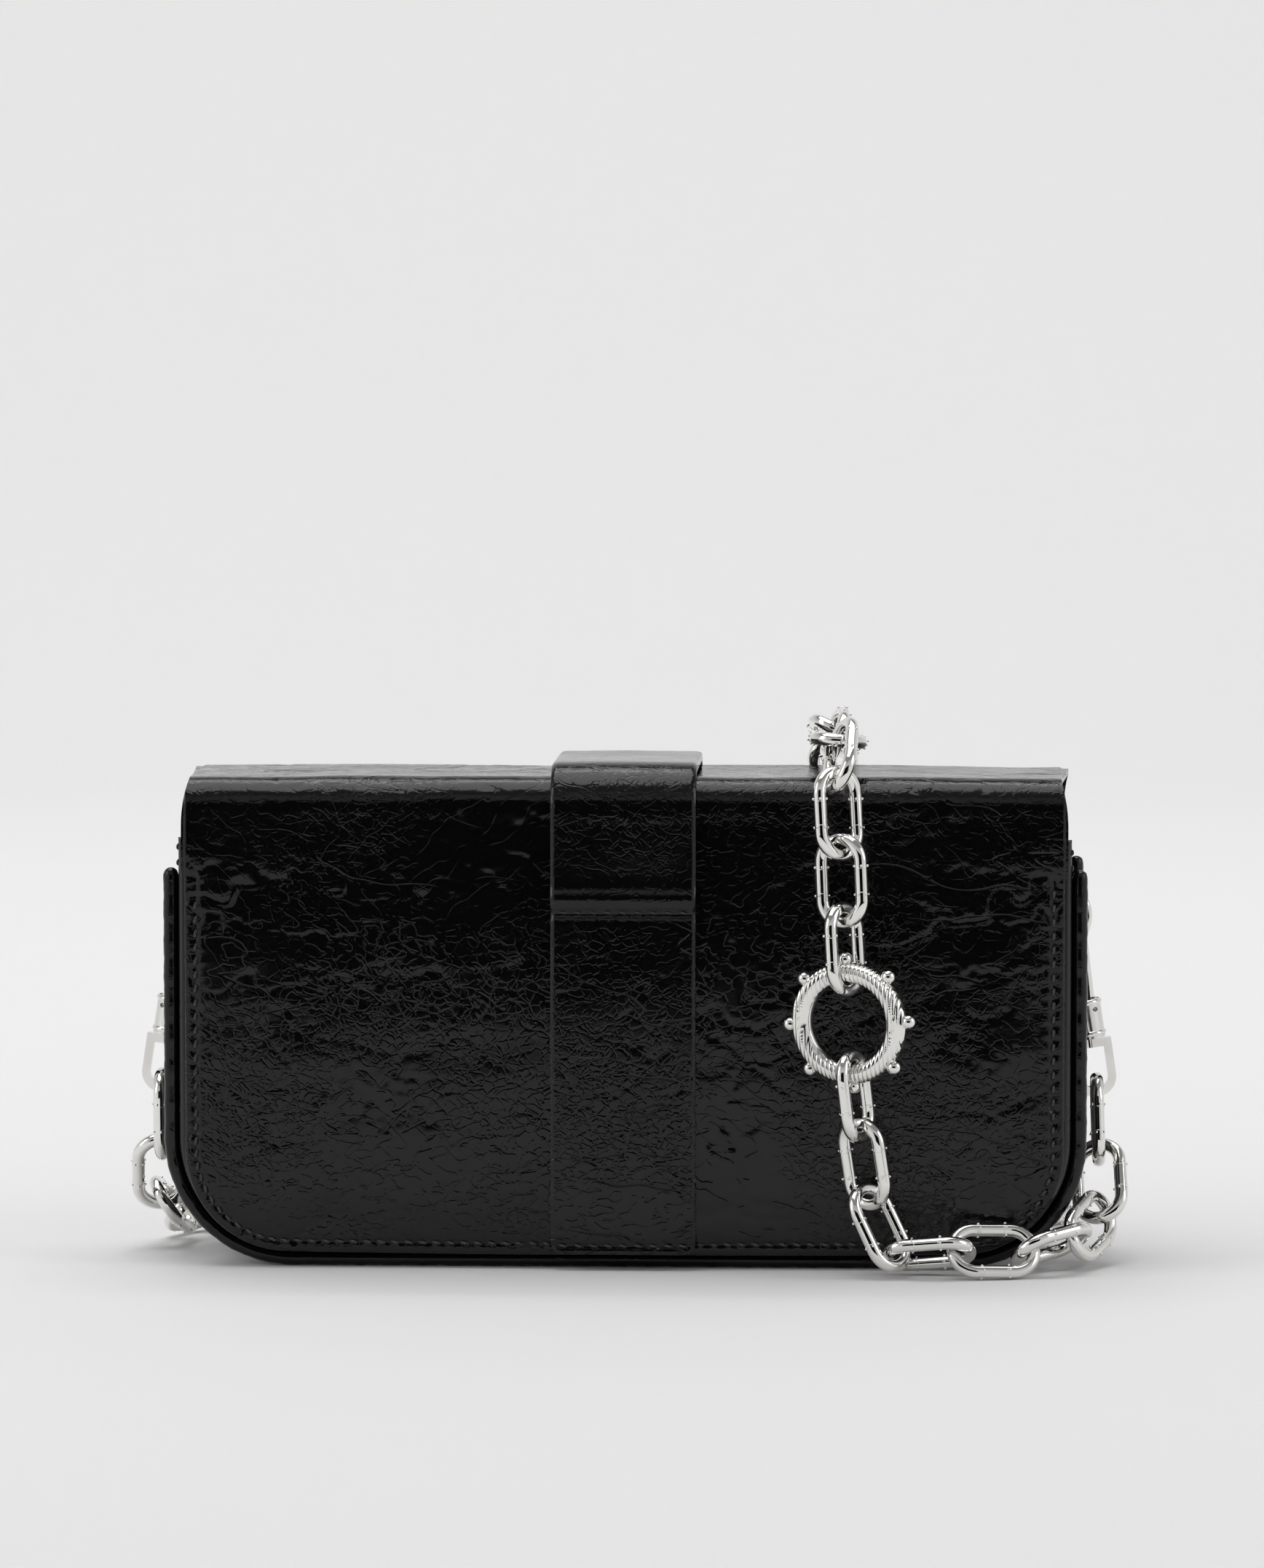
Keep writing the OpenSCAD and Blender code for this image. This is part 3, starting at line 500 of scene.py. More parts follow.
def spread(length, fine, step, edge):
    """Stations along a length, close together near both ends."""
    close = np.linspace(0, edge, int(edge / fine) + 1)
    between = np.linspace(edge, length - edge, max(int((length - 2 * edge) / step), 2) + 1)
    return np.concatenate([close[:-1], between, length - close[::-1][1:]])


def closed_sheet(name, outer, inner, flat):
    """Closed sheet from two grids of points of the same size, with the flat coordinates stored on it."""
    rows, columns = outer.shape[:2]
    count = rows * columns
    number = np.arange(count).reshape(rows, columns)
    quads = np.stack([number[:-1, :-1], number[:-1, 1:], number[1:, 1:], number[1:, :-1]], -1).reshape(-1, 4)
    rim = np.concatenate([number[0, :], number[1:, -1], number[-1, -2::-1], number[-2:0:-1, 0]])
    after = np.roll(rim, -1)
    walls = np.stack([after, rim, rim + count, after + count], -1)
    faces = np.concatenate([quads[:, ::-1], quads + count, walls[:, ::-1]])
    points = np.concatenate([outer.reshape(-1, 3), inner.reshape(-1, 3)])
    a, b, c, d = (points[faces[:, k]] for k in range(4))
    if np.sum(np.cross(c - a, d - b) * (a + b + c + d)) < 0:
        faces = faces[:, ::-1]
    piece = new_piece(name, points, faces)
    stored = piece.data.attributes.new("flat", "FLOAT_VECTOR", "POINT")
    stored.data.foreach_set("vector", np.concatenate([flat.reshape(-1, 3)] * 2).astype(np.float32).ravel())
    edges = [tuple(sorted((int(a), int(b)))) for a, b in zip(rim, after)]
    edges += [(a + count, b + count) for a, b in edges]
    sharp = set(edges)
    for edge in piece.data.edges:
        edge.use_edge_sharp = tuple(sorted(edge.vertices)) in sharp
    return piece


hide_step = 0.8 * mm
hide_s = spread(hide_length, 0.3 * mm, hide_step, 6 * mm)
hide_u = spread(2.0, 0.0026, hide_step / half_cover, 0.0527) - 1
grid_s, grid_u = np.meshgrid(hide_s, hide_u, indexing="ij")
grid_x = grid_u * half_width(grid_s)
hide_outer = hide_point(grid_x, grid_s)
grid_y, grid_z, grid_way = hide_line(grid_s)
hide_inner = np.stack([grid_x, grid_y - leather_t * np.cos(grid_way),
                       grid_z - leather_t * np.sin(grid_way)], -1)
hide_inner[..., 2] += hide_outer[..., 2] - (grid_z + hide_height(grid_x, grid_s) * np.sin(grid_way))
cover = closed_sheet("cover_and_flap", hide_outer, hide_inner, np.stack([grid_x, grid_s, 0 * grid_s], -1))
cover.data.materials.append(hide)
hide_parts("back_cover", "flap")
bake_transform(cover)


# Thread. Thick black bonded thread, sewn by machine: each stitch lies sunk between two holes and
# leans a little across the seam.
thread_black, thread_tree, thread_shader = new_material("bonded_thread", (0.012, 0.012, 0.012), 0.3,
                                                        specular=0.6)
thread_twist = add_node(thread_tree, "TexWave", Scale=900)
thread_tree.links.new(add_node(thread_tree, "TexCoord").outputs["Object"], thread_twist.inputs["Vector"])
bumped(thread_tree, thread_shader, thread_twist.outputs["Fac"], 0.00006)


def stitches(name, places, body, length=2.5 * mm, thick=0.95 * mm, lean=0.22):
    """A row of stitches as one piece. A place is a point, the way the seam runs and the way out."""
    rings, sides = 7, 8
    points, faces = [], []
    for at, along, out in places:
        along, out = Vector(along).normalized(), Vector(out).normalized()
        across = along.cross(out)
        along = (along + lean * across).normalized()
        across = along.cross(out)
        base = len(points)
        for i in range(rings):
            t = -1 + 2 * i / (rings - 1)
            radius = thick / 2 * math.sqrt(max(1 - t ** 4, 0.06))
            centre = Vector(at) + along * (t * length / 2) + out * (thick * 0.42 * (1 - t * t) - thick * 0.16)
            for k in range(sides):
                a = 2 * math.pi * k / sides
                points.append(centre + across * (radius * math.cos(a)) + out * (radius * 0.8 * math.sin(a)))
        faces += join_rings(rings, sides, base)
        faces += [tuple(base + k for k in range(sides))[::-1],
                  tuple(base + (rings - 1) * sides + k for k in range(sides))]
    row = new_piece(name, points, faces)
    row.data.materials.append(thread_black)
    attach(row, body)
    return row


def seam_places(front, top):
    """Places of the stitches 3 mm inside the hide's edge, round one end of it, up to a height."""
    straight, radius = half_cover - cover_r, cover_r - seam_in
    arc = cover_r * math.pi / 2
    rise = (fold_z - flap_z if front else top - cover_z) - cover_r
    total = straight + arc + rise
    made = []
    for side in (-1, 1):
        for k in range(0 if side > 0 else 1, int(total / stitch_pitch)):
            along = (k + 0.5) * stitch_pitch if side > 0 else (k - 0.5) * stitch_pitch
            if along < straight:
                x, end = along, seam_in
            elif along < straight + arc:
                a = (along - straight) / cover_r
                x, end = straight + radius * math.sin(a), cover_r - radius * math.cos(a)
            else:
                x, end = half_cover - seam_in, cover_r + along - straight - arc
            s = hide_length - end if front else end
            made.append((side * x, s))
    x, s = np.array(made).T
    at = hide_point(x, s, -0.05 * mm)
    way = hide_line(s)[2]
    out = np.stack([0 * x, np.cos(way), np.sin(way)], -1)
    places = []
    for k in range(len(x)):
        if abs(x[k]) < straight:
            run = (1, 0, 0)
        else:
            end = hide_length - s[k] if front else s[k]
            if end > cover_r:
                run = (0, 0, 1)
            else:
                a = math.asin(min(1, (abs(x[k]) - straight) / radius))
                run = (math.copysign(math.cos(a), x[k]), 0, math.sin(a))
        places.append((at[k], run, out[k]))
    return places


stitches("cover_stitches", seam_places(False, seam_top), "body")
stitches("flap_stitches", seam_places(True, fold_z), "flap")


# Band. A doubled strap runs down the middle: stitched to the back at its foot and again under the top
# edge, looped over the flap, and free in front, where its tongue closes the bag with a hidden snap.
band_low, band_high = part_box("strap_band_back")
tongue_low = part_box("strap_tongue")[0]
band_half, band_t, band_r = band_high.x, 2.4 * mm, 12 * mm
band_seam, foot_seam, tongue_bend_z = 93.3 * mm, 6.6 * mm, fold_z - 3 * fold_r
band_y, tongue_y = cover_y + band_t + 0.1 * mm, flap_y + band_t + 0.2 * mm
back_fold_y, front_fold_y = fold_r - cover_y, flap_y - fold_r


def band_line(points):
    """A line in Y and Z drawn through points, its kinks eased, with its lengths and outward normals."""
    points = np.array(points)
    lengths = np.concatenate([[0], np.cumsum(np.hypot(*np.diff(points, axis=0).T))])
    s = np.linspace(0, lengths[-1], int(lengths[-1] / (0.5 * mm)) + 1)
    line = np.stack([np.interp(s, lengths, points[:, k]) for k in (0, 1)], -1)
    ease = 6
    padded = np.concatenate([2 * line[:1] - line[ease:0:-1], line, 2 * line[-1:] - line[-2:-ease - 2:-1]])
    line = sum(padded[k:k + len(line)] for k in range(2 * ease + 1)) / (2 * ease + 1)
    along = np.gradient(line, axis=0)
    along /= np.linalg.norm(along, axis=1)[:, None]
    return s, line, np.stack([-along[:, 1], along[:, 0]], -1)


def fold_arc(y, from_deg, to_deg):
    return [(y + band_r * math.cos(math.radians(a)), fold_z + band_r * math.sin(math.radians(a)))
            for a in np.linspace(from_deg, to_deg, 19)]


def band_sheet(name, points, first_r, last_r, start, relief):
    """A strap along a line, rounded at either end, with its relief and its flat coordinates."""
    line_s, line, normal = band_line(points)
    length = line_s[-1]
    s = spread(length, 0.3 * mm, (0.7) * mm, 4 * mm)
    u = spread(2.0, 0.012, 0.04, 0.16) - 1
    gs, gu = np.meshgrid(s, u, indexing="ij")
    round_off = np.zeros_like(gs)
    for radius, end in ((first_r, gs), (last_r, length - gs)):
        inside = np.clip(radius - end, 0, radius)
        round_off += radius - np.sqrt(np.maximum(radius ** 2 - inside ** 2, 0))
    x = gu * (band_half - round_off)
    y, z, ny, nz = (np.interp(gs, line_s, values) for values in (*line.T, *normal.T))
    edge = np.clip((band_half - round_off - np.abs(x)) / (1.3 * mm), 0, 1)
    h = 0.2 * mm * (1 - (x / band_half) ** 2) - 0.55 * mm * (1 - edge) ** 2 + relief(x, y, z)
    outer = np.stack([x, y + h * ny, z + h * nz], -1)
    inner = np.stack([x, y - band_t * ny, z - band_t * nz], -1)
    sheet = closed_sheet(name, outer, inner, np.stack([x + 0.31, start + gs, 0 * gs], -1))
    sheet.data.materials.append(hide)
    return sheet


def back_relief(x, y, z):
    """Creases, the stitched groove under the top edge and the swell of leather that it holds back."""
    on_back = y < back_fold_y
    held_back = 1.0 * mm * bell(z, band_seam + 3.6 * mm, 2.6 * mm)
    seam = 0.9 * mm * bell(z, band_seam - 0.3 * mm, 1.1 * mm) - held_back
    beat = 0.12 * mm * np.cos(2 * np.pi * x / (3.9 * mm)) * bell(z, band_seam, 1.6 * mm)
    foot = 0.4 * mm * bell(z, foot_seam, 0.8 * mm)
    fine = 0.07 * mm * hills(x, z, 14 * mm, 41) + 0.03 * mm * hills(x, z, 5 * mm, 42)
    slant = 0.17 * mm * creases(x, z, 15 * mm, 0.45, 0.5, 0.07, 43) * bell(z, 66 * mm, 24 * mm)
    return fine - slant + on_back * (swell_of_back(z) * 1.15 - seam - beat - foot)


def tongue_relief(x, y, z):
    return 0.10 * mm * hills(x, z, 16 * mm, 45) - 0.12 * mm * creases(x, z, 14 * mm, 0.3, 0.5, 0.08, 46)


band_points = [(-band_y, band_low.z), (-band_y, band_seam), *fold_arc(back_fold_y, 180, 90),
               (front_fold_y, fold_z + band_r)]
tongue_points = [*fold_arc(front_fold_y, 90, 0), (tongue_y, tongue_bend_z), (tongue_y, tongue_low.z)]
band = band_sheet("strap_band", band_points, 3 * mm, 0, 0, back_relief)
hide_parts("strap_band_back", "strap_band_top")
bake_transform(band)
tongue = band_sheet("strap_tongue_leather", tongue_points, 0, 12 * mm, band_line(band_points)[0][-1],
                    tongue_relief)
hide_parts("strap_tongue")
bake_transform(tongue)
band_stitch = 3.9 * mm
for name, height, sink in (("band_seam_stitches", band_seam, 0.55 * mm),
                           ("band_foot_stitches", foot_seam, 0.2 * mm)):
    out = float(swell_of_back(height)) * 1.15
    places = [((k * band_stitch, -band_y + sink - out, height), (1, 0, 0), (0, -1, 0)) for k in range(-4, 5)]
    stitches(name, places, "body", thick=0.8 * mm)


# Panels. Foam-backed leather panels close the back and the front. Their edges are rolled into the seam
# with the piping, and only a narrow margin of them shows beside the cover.
smooth_leather, smooth_tree, smooth_shader = new_material("smooth_leather", (0.008, 0.008, 0.0082), 0.28,
                                                          specular=0.5)
smooth_place = add_node(smooth_tree, "TexCoord").outputs["Object"]
smooth_grain = place_group(smooth_tree, hide_grain, smooth_place, Scale=1300)
bumped(smooth_tree, smooth_shader, smooth_grain.outputs["Grain"], 0.00003)
clouded(smooth_tree, smooth_shader, smooth_grain.outputs["Cloud"], 0.2, 0.38, from_min=0, from_max=1)


def foot_sheet(name, half, low, top, radius, outer_y, inner_y, edge, swell, step=2 * mm):
    """Closed upright sheet with rounded lower corners, its rim rounded over, its outer side swelling."""
    toward = math.copysign(1, outer_y - inner_y)
    height = top - low
    s = spread(height, 0.3 * mm, step, 4 * mm)
    u = spread(2.0, 0.3 * mm / half, step / half, 4 * mm / half) - 1
    gs, gu = np.meshgrid(s, u, indexing="ij")
    inside = np.clip(radius - gs, 0, radius)
    x = gu * (half - radius + np.sqrt(np.maximum(radius ** 2 - inside ** 2, 0)))
    side = half - np.abs(x)
    out = np.hypot(radius - side, radius - gs)
    distance = np.minimum(np.minimum(side, gs), height - gs)
    distance = np.where((side < radius) & (gs < radius), radius - out, distance)
    drop = edge * (1 - np.sqrt(1 - (1 - np.clip(distance / edge, 0, 1)) ** 2))
    z = low + gs
    lift = swell * np.clip(distance / (12 * mm), 0, 1) + 0.12 * swell * hills(x, z, 25 * mm, 51)
    outer = np.stack([x, outer_y + toward * (lift - drop), z], -1)
    inner = np.stack([x, inner_y + toward * drop, z], -1)
    return closed_sheet(name, outer, inner, np.stack([x, z, 0 * z], -1))


panel_corner, panel_roll = 29.3 * mm, 1.5 * mm
for side, node in ((-1, "back_panel"), (1, "front_panel")):
    low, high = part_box(node)
    faces_y = (low.y, high.y) if side < 0 else (high.y, low.y)
    panel = foot_sheet(node + "_leather", high.x, low.z, high.z, panel_corner, *faces_y, panel_roll,
                       0.1 * mm)
    panel.data.materials.append(smooth_leather)
    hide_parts(node)
    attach(panel, "body")
panel_low, panel_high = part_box("back_panel")
thread_ends = [(side * (panel_high.x + 0.1 * mm), panel_low.y + 1.3 * mm, z * mm)
               for side, z in ((-1, 109.6), (-1, 105.5), (1, 108.7), (1, 104.6))]
stitches("panel_thread_ends", [(at, (0, 0.3, 1), (math.copysign(1, at[0]), -0.6, 0)) for at in thread_ends],
         "body", length=1.8 * mm, thick=0.7 * mm)


# Piping. Leather rolled over a cord is sewn between panel and gusset all round, and ends in a closed
# round tip under the panel's top edge. It is a little uneven where it was pulled round the corners.
piping_leather = crinkled_leather("piping_leather", False, 0.00003)
half_bag, corner_r, piping_r = 120 * mm, 33.5 * mm, 2 * mm


def foot_path(half, low, top, radius, step):
    """Open line down one side, round both lower corners and up the other, with its outward normals."""
    arc = np.linspace(0, math.pi / 2, max(int(radius * math.pi / 2 / step), 8) + 1)
    rise = np.linspace(top, low + radius, max(int((top - low - radius) / step), 4) + 1)
    run = np.linspace(radius - half, half - radius, max(int(2 * (half - radius) / step), 8) + 1)[1:-1]
    left = [(-half, z, -1, 0) for z in rise[:-1]]
    for a in arc:
        out_x, out_z = -math.cos(a), -math.sin(a)
        left.append((radius - half + radius * out_x, low + radius + radius * out_z, out_x, out_z))
    right = [(-x, z, -nx, nz) for x, z, nx, nz in left][::-1]
    return np.array(left + [(x, low, 0, -1) for x in run] + right)


piping_sides, seam_y, welt_in = 20, 23 * mm, 3.4 * mm
welt_section = [(0, 23.1 * mm), (0, 20.9 * mm), (6.5 * mm, 20.9 * mm), (6.5 * mm, 23.1 * mm)]


def piping_tube(name, node, side):
    path = foot_path(half_bag - piping_r, piping_r, seam_top, corner_r - piping_r, 1.2 * mm)
    caps = [(path[0, 0], seam_top + piping_r * math.sqrt(1 - t * t), -1, 0, max(t, 0.02))
            for t in np.arange(8) / 8]
    rows = caps + [(*p, 1) for p in path] + [(-x, z, -nx, nz, share) for x, z, nx, nz, share in caps[::-1]]
    turn = np.arange(piping_sides) * 2 * np.pi / piping_sides
    points = []
    for k, (x, z, nx, nz, share) in enumerate(rows):
        r = piping_r * share * (1 + 0.03 * math.sin(k * 0.9) + 0.02 * math.sin(k * 2.3 + 1))
        points += [(x + nx * r * math.cos(a), side * seam_y + r * math.sin(a), z + nz * r * math.cos(a))
                   for a in turn]
    faces = join_rings(len(rows), piping_sides)
    faces += [tuple(range(piping_sides)), tuple(range(len(points) - piping_sides, len(points)))[::-1]]
    # The welt that is sewn into the seam
    base = len(points)
    outer = foot_path(half_bag - welt_in, welt_in, seam_top, corner_r - welt_in, 3 * mm)
    for x, z, nx, nz in outer:
        points += [(x - nx * inset, side * y, z - nz * inset) for inset, y in welt_section]
    faces += join_rings(len(outer), 4, base)
    faces += [tuple(base + k for k in range(4)), tuple(len(points) - 4 + k for k in range(4))[::-1]]
    tube = new_piece(name, points, faces)
    net = bmesh.new()
    net.from_mesh(tube.data)
    bmesh.ops.recalc_face_normals(net, faces=net.faces)
    net.to_mesh(tube.data)
    net.free()
    tube.data.materials.append(piping_leather)
    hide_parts(node)
    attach(tube, "body")


piping_tube("back_piping_tube", "back_piping", -1)
piping_tube("front_piping_tube", "front_piping", 1)


# Gusset. One strip of leather goes down one end, under the base and up the other. Its ends sink in a
# little between the pipings, and it lies flat where the bag stands on it.
def strip(name, half, low, top, radius, half_y, thickness, sink, material, node_slot, step=2.5 * mm):
    path = foot_path(half, low, top, radius, step)
    y = spread(2 * half_y, 0.4 * mm, step, 3 * mm) - half_y
    rows = np.repeat(path[:, None, :], len(y), 1)
    across = np.repeat(y[None, :], len(path), 0)
    upper = np.clip((rows[..., 1] - radius) / (50 * mm), 0, 1)
    dip = sink * upper * (1 - (across / half_y) ** 2)
    dip = dip + 0.1 * mm * upper * hills(rows[..., 1], across, 18 * mm, 61)
    outer = np.stack([rows[..., 0] - rows[..., 2] * dip, across, rows[..., 1] - rows[..., 3] * dip], -1)
    deep = dip + thickness
    inner = np.stack([rows[..., 0] - rows[..., 2] * deep, across, rows[..., 1] - rows[..., 3] * deep], -1)
    flat = np.stack([rows[..., 1], across, 0 * across], -1)
    piece = closed_sheet(name, outer, inner, flat)
    piece.data.materials.append(material)
    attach(piece, "body")
    return piece


gusset_low, gusset_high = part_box("gusset")
gusset = strip("gusset_leather", gusset_high.x, gusset_low.z, gusset_high.z, panel_corner, gusset_high.y,
               1.6 * mm, 0.4 * mm, smooth_leather, "smooth_leather")
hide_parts("gusset")


# Tabs. A short strap of the gusset's leather is folded round each D-ring's bar and sewn to the gusset.
for side, node in ((1, "d_tab_right"), (-1, "d_tab_left")):
    low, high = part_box(node)
    plate_x = min(abs(low.x), abs(high.x))
    reach = max(abs(low.x), abs(high.x))
    tab_t, roll_r, rise = 1 * mm, 2.25 * mm, high.z - low.z
    bar_x = reach - roll_r
    way = np.linspace(-1, 1, 61)
    y = high.y * way
    hump = np.sqrt(np.maximum(roll_r ** 2 - y ** 2, 0))
    x = np.maximum(plate_x + tab_t, np.where(np.abs(y) < roll_r, bar_x + hump, 0))
    x = np.convolve(np.pad(x, 2, mode="edge"), np.ones(5) / 5, mode="valid")
    z = spread(rise, 0.2 * mm, 0.6 * mm, 0.8 * mm)
    gz, gx = np.meshgrid(z, x, indexing="ij")
    gy = np.repeat(y[None, :], len(z), 0)
    rim = np.minimum(np.minimum(gz, rise - gz), high.y - np.abs(gy))
    worn = 0.3 * mm * (1 - np.clip(rim / (0.5 * mm), 0, 1)) ** 2
    outer = np.stack([side * (gx - worn), gy, low.z + gz], -1)
    inner = np.stack([side * np.maximum(gx - tab_t, plate_x), gy, low.z + gz], -1)
    tab = closed_sheet(node + "_leather", outer, inner, np.stack([gy, gz, 0 * gz], -1))
    tab.data.materials.append(smooth_leather)
    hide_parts(node)
    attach(tab, "body")
    places = [((side * (plate_x + tab_t), end * (high.y - 1.6 * mm), low.z + rise * share), (0, 0, 1),
               (side, 0, 0)) for end in (-1, 1) for share in (0.3, 0.7)]
    stitches(node + "_stitches", places, "body", length=1.6 * mm, thick=0.55 * mm)


# Lining. Dark twill covers the inside: two walls and a strip between them, a slip pocket on the back
# wall, and the underside of the flap.
def twill_group():
    """Shader group: slanting ribs of a fine twill, as a height and as a shade."""
    tree, given, out = new_group("twill_weave", ["Weave"], Scale=700)
    ribs, threads = add_node(tree, "TexWave"), add_node(tree, "TexWave")
    ribs.bands_direction, threads.bands_direction = "DIAGONAL", "X"
    link_all(tree, [(given[title], wave.inputs[title]) for wave in (ribs, threads)
                    for title in ("Vector", "Scale")])
    both = math_node(tree, "ADD", math_node(tree, "MULTIPLY", ribs.outputs["Fac"], 0.7),
                     math_node(tree, "MULTIPLY", threads.outputs["Fac"], 0.3))
    tree.links.new(both, out["Weave"])
    return tree


def tinted(tree, value, dark, light, socket):
    """Feeds a colour between dark and light, chosen by a value that changes over the surface."""
    ramp = add_node(tree, "ValToRGB")
    ramp.color_ramp.elements[0].color = (*dark, 1)
    ramp.color_ramp.elements[1].color = (*light, 1)
    link_all(tree, [(value, ramp.inputs["Fac"]), (ramp.outputs["Color"], socket)])


twill, twill_tree, twill_shader = new_material("lining_twill", (0.03, 0.028, 0.026), 0.75, specular=0.2)
twill_place = add_node(twill_tree, "TexCoord").outputs["Object"]
weave = place_group(twill_tree, twill_group(), twill_place, Scale=620)
bumped(twill_tree, twill_shader, weave.outputs["Weave"], 0.0001)
tinted(twill_tree, weave.outputs["Weave"], (0.018, 0.016, 0.015), (0.05, 0.045, 0.042),
       twill_shader.inputs["Base Color"])


def fabric(piece, body, *nodes):
    piece.data.materials.append(twill)
    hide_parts(*nodes)
    if body:
        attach(piece, body)


lining_low, lining_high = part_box("lining")
lining_t, lining_r = 0.8 * mm, 27.5 * mm
wall_size = (lining_high.x, lining_low.z, lining_high.z, lining_r)
for side, name in ((-1, "lining_back_wall"), (1, "lining_front_wall")):
    wall = foot_sheet(name, *wall_size, side * (lining_high.y - lining_t), side * lining_high.y, 0.3 * mm,
                      0.25 * mm, step=4 * mm)
    fabric(wall, "body", "lining")
lining_strip = strip("lining_strip", *wall_size, lining_high.y - 0.1 * mm, lining_t, 0.2 * mm, twill,
                     "lining_fabric", step=4 * mm)
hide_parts("lining")
pocket_low, pocket_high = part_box("slip_pocket")
pocket = foot_sheet("slip_pocket_cloth", pocket_high.x, pocket_low.z, pocket_high.z, 4 * mm, pocket_high.y,
                    pocket_low.y, 0.35 * mm, 0.3 * mm, step=4 * mm)
fabric(pocket, "body", "slip_pocket")
under_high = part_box("flap_lining")[1]
hem_in, under_t = 3 * mm, 0.6 * mm
under_s = spread(hide_length - turns[1] - 2 * hem_in, 0.5 * mm, 3 * mm, 4 * mm) + turns[1] + hem_in
under_u = spread(2.0, 0.01, 0.03, 0.06) - 1
gs, gu = np.meshgrid(under_s, under_u, indexing="ij")
end = np.clip((cover_r - (hide_length - gs)), 0, cover_r)
gx = gu * (under_high.x - cover_r + np.sqrt(np.maximum(cover_r ** 2 - end ** 2, 0)))
gy, gz, gway = hide_line(gs)
depth = leather_t + 0.15 * mm + 0.1 * mm * (1 + hills(gx, gs, 30 * mm, 71))
under_outer = np.stack([gx, gy - depth * np.cos(gway), gz - depth * np.sin(gway)], -1)
deep = depth + under_t
under_inner = np.stack([gx, gy - deep * np.cos(gway), gz - deep * np.sin(gway)], -1)
under = closed_sheet("flap_lining_cloth", under_outer, under_inner, np.stack([gx, gs, 0 * gs], -1))
fabric(under, None, "flap_lining")
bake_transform(under)


# Boards. Pressed fibre board stiffens the back and front under the lining, and the base.
board, board_tree, board_shader = new_material("fibre_board", (0.4, 0.34, 0.26), 0.85, specular=0.15)
board_fleck = add_node(board_tree, "TexNoise", Scale=900)
bumped(board_tree, board_shader, board_fleck.outputs["Fac"], 0.00008)
tinted(board_tree, board_fleck.outputs["Fac"], (0.26, 0.21, 0.15), (0.5, 0.43, 0.33),
       board_shader.inputs["Base Color"])


def finish_node(name, material):
    """Gives a CAD node its finish."""
    node = frame["nodes"][name]
    node.data.materials.clear()
    node.data.materials.append(material)
    return node


for name in ("back_stiffener", "front_stiffener", "base_board"):
    finish_node(name, board)


# Nickel. Hooks, rings, snap and chain are polished and nickel plated: pale and faintly warm, with
# hairlines from handling.
def polish_group():
    """Shader group: hairlines and clouding of polished plate, as a height and as a roughness share."""
    tree, given, out = new_group("plate_polish", ["Hairline", "Cloud"])
    stretch = add_node(tree, "VectorMath")
    stretch.operation = "MULTIPLY"
    stretch.inputs[1].default_value = (1, 1, 0.12)
    hair, cloud = add_node(tree, "TexNoise", Scale=2600), add_node(tree, "TexNoise", Scale=160)
    link_all(tree, [(given["Vector"], stretch.inputs[0]), (stretch.outputs["Vector"], hair.inputs["Vector"]),
                    (given["Vector"], cloud.inputs["Vector"]), (hair.outputs["Fac"], out["Hairline"]),
                    (cloud.outputs["Fac"], out["Cloud"])])
    return tree


plate_polish = polish_group()


def plated(name, colour, low, high, hair):
    material, tree, shader = new_material(name, colour, low, metallic=1)
    polish = place_group(tree, plate_polish, add_node(tree, "TexCoord").outputs["Object"])
    clouded(tree, shader, polish.outputs["Cloud"], low, high)
    bumped(tree, shader, polish.outputs["Hairline"], hair)
    return material


clasp_nickel = plated("clasp_nickel", (0.80, 0.785, 0.76), 0.05, 0.12, 0.000003)
chain_nickel = plated("chain_nickel", (0.82, 0.81, 0.785), 0.04, 0.10, 0.000003)
steel = plated("plain_steel", (0.56, 0.56, 0.56), 0.2, 0.35, 0.00001)
for name in ("snap_female", "snap_male"):
    finish_node(name, clasp_nickel)
finish_node("snap_washer", steel)
for side in ("_right", "_left"):
    for name in ("d_ring", "hook", "gate", "swivel_eye"):
        finish_node(name + side, clasp_nickel)
    for name in ("gate_pin", "gate_spring"):
        finish_node(name + side, steel)


# Snap hook trim. A turned collar rings the barrel's top and foot, where the swivel eye's shank is
# riveted in. The swivel's axis gives their place.
def turned(name, profile, at, axis, count=40):
    """A turned piece: a closed profile of (radius, height) round an axis through a point."""
    points, faces = revolve(profile, count)
    place = Matrix.Translation(at) @ Vector(axis).to_track_quat("Z", "Y").to_matrix().to_4x4()
    piece = new_piece(name, [place @ Vector(p) for p in points], faces)
    piece.data.materials.append(clasp_nickel)
    return piece


barrel_r, barrel_top, barrel_foot = 4.2 * mm, -14.72 * mm, -24.72 * mm
for joint in frame["record"]["behaviour"]["joints"]:
    if not joint["name"].startswith("swivel_"):
        continue
    side = joint["name"].removeprefix("swivel_")
    axis = Vector(joint["axis"]).normalized()
    axis = axis if axis.z > 0 else -axis
    crown = Vector(joint["pos_m"])
    for spot, height, rim in (("top", barrel_top - 0.5 * mm, 0.35 * mm),
                              ("foot", barrel_foot + 1.3 * mm, 0.4 * mm)):
        ring = [(barrel_r - 0.3 * mm + (rim + 0.3 * mm) * math.sin(a), 0.75 * mm * math.cos(a))
                for a in np.linspace(0, math.pi, 13)]
        ring.append(ring[0])
        collar = turned(f"hook_{side}_{spot}_collar", ring, crown + axis * height, axis)
        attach(collar, "body")


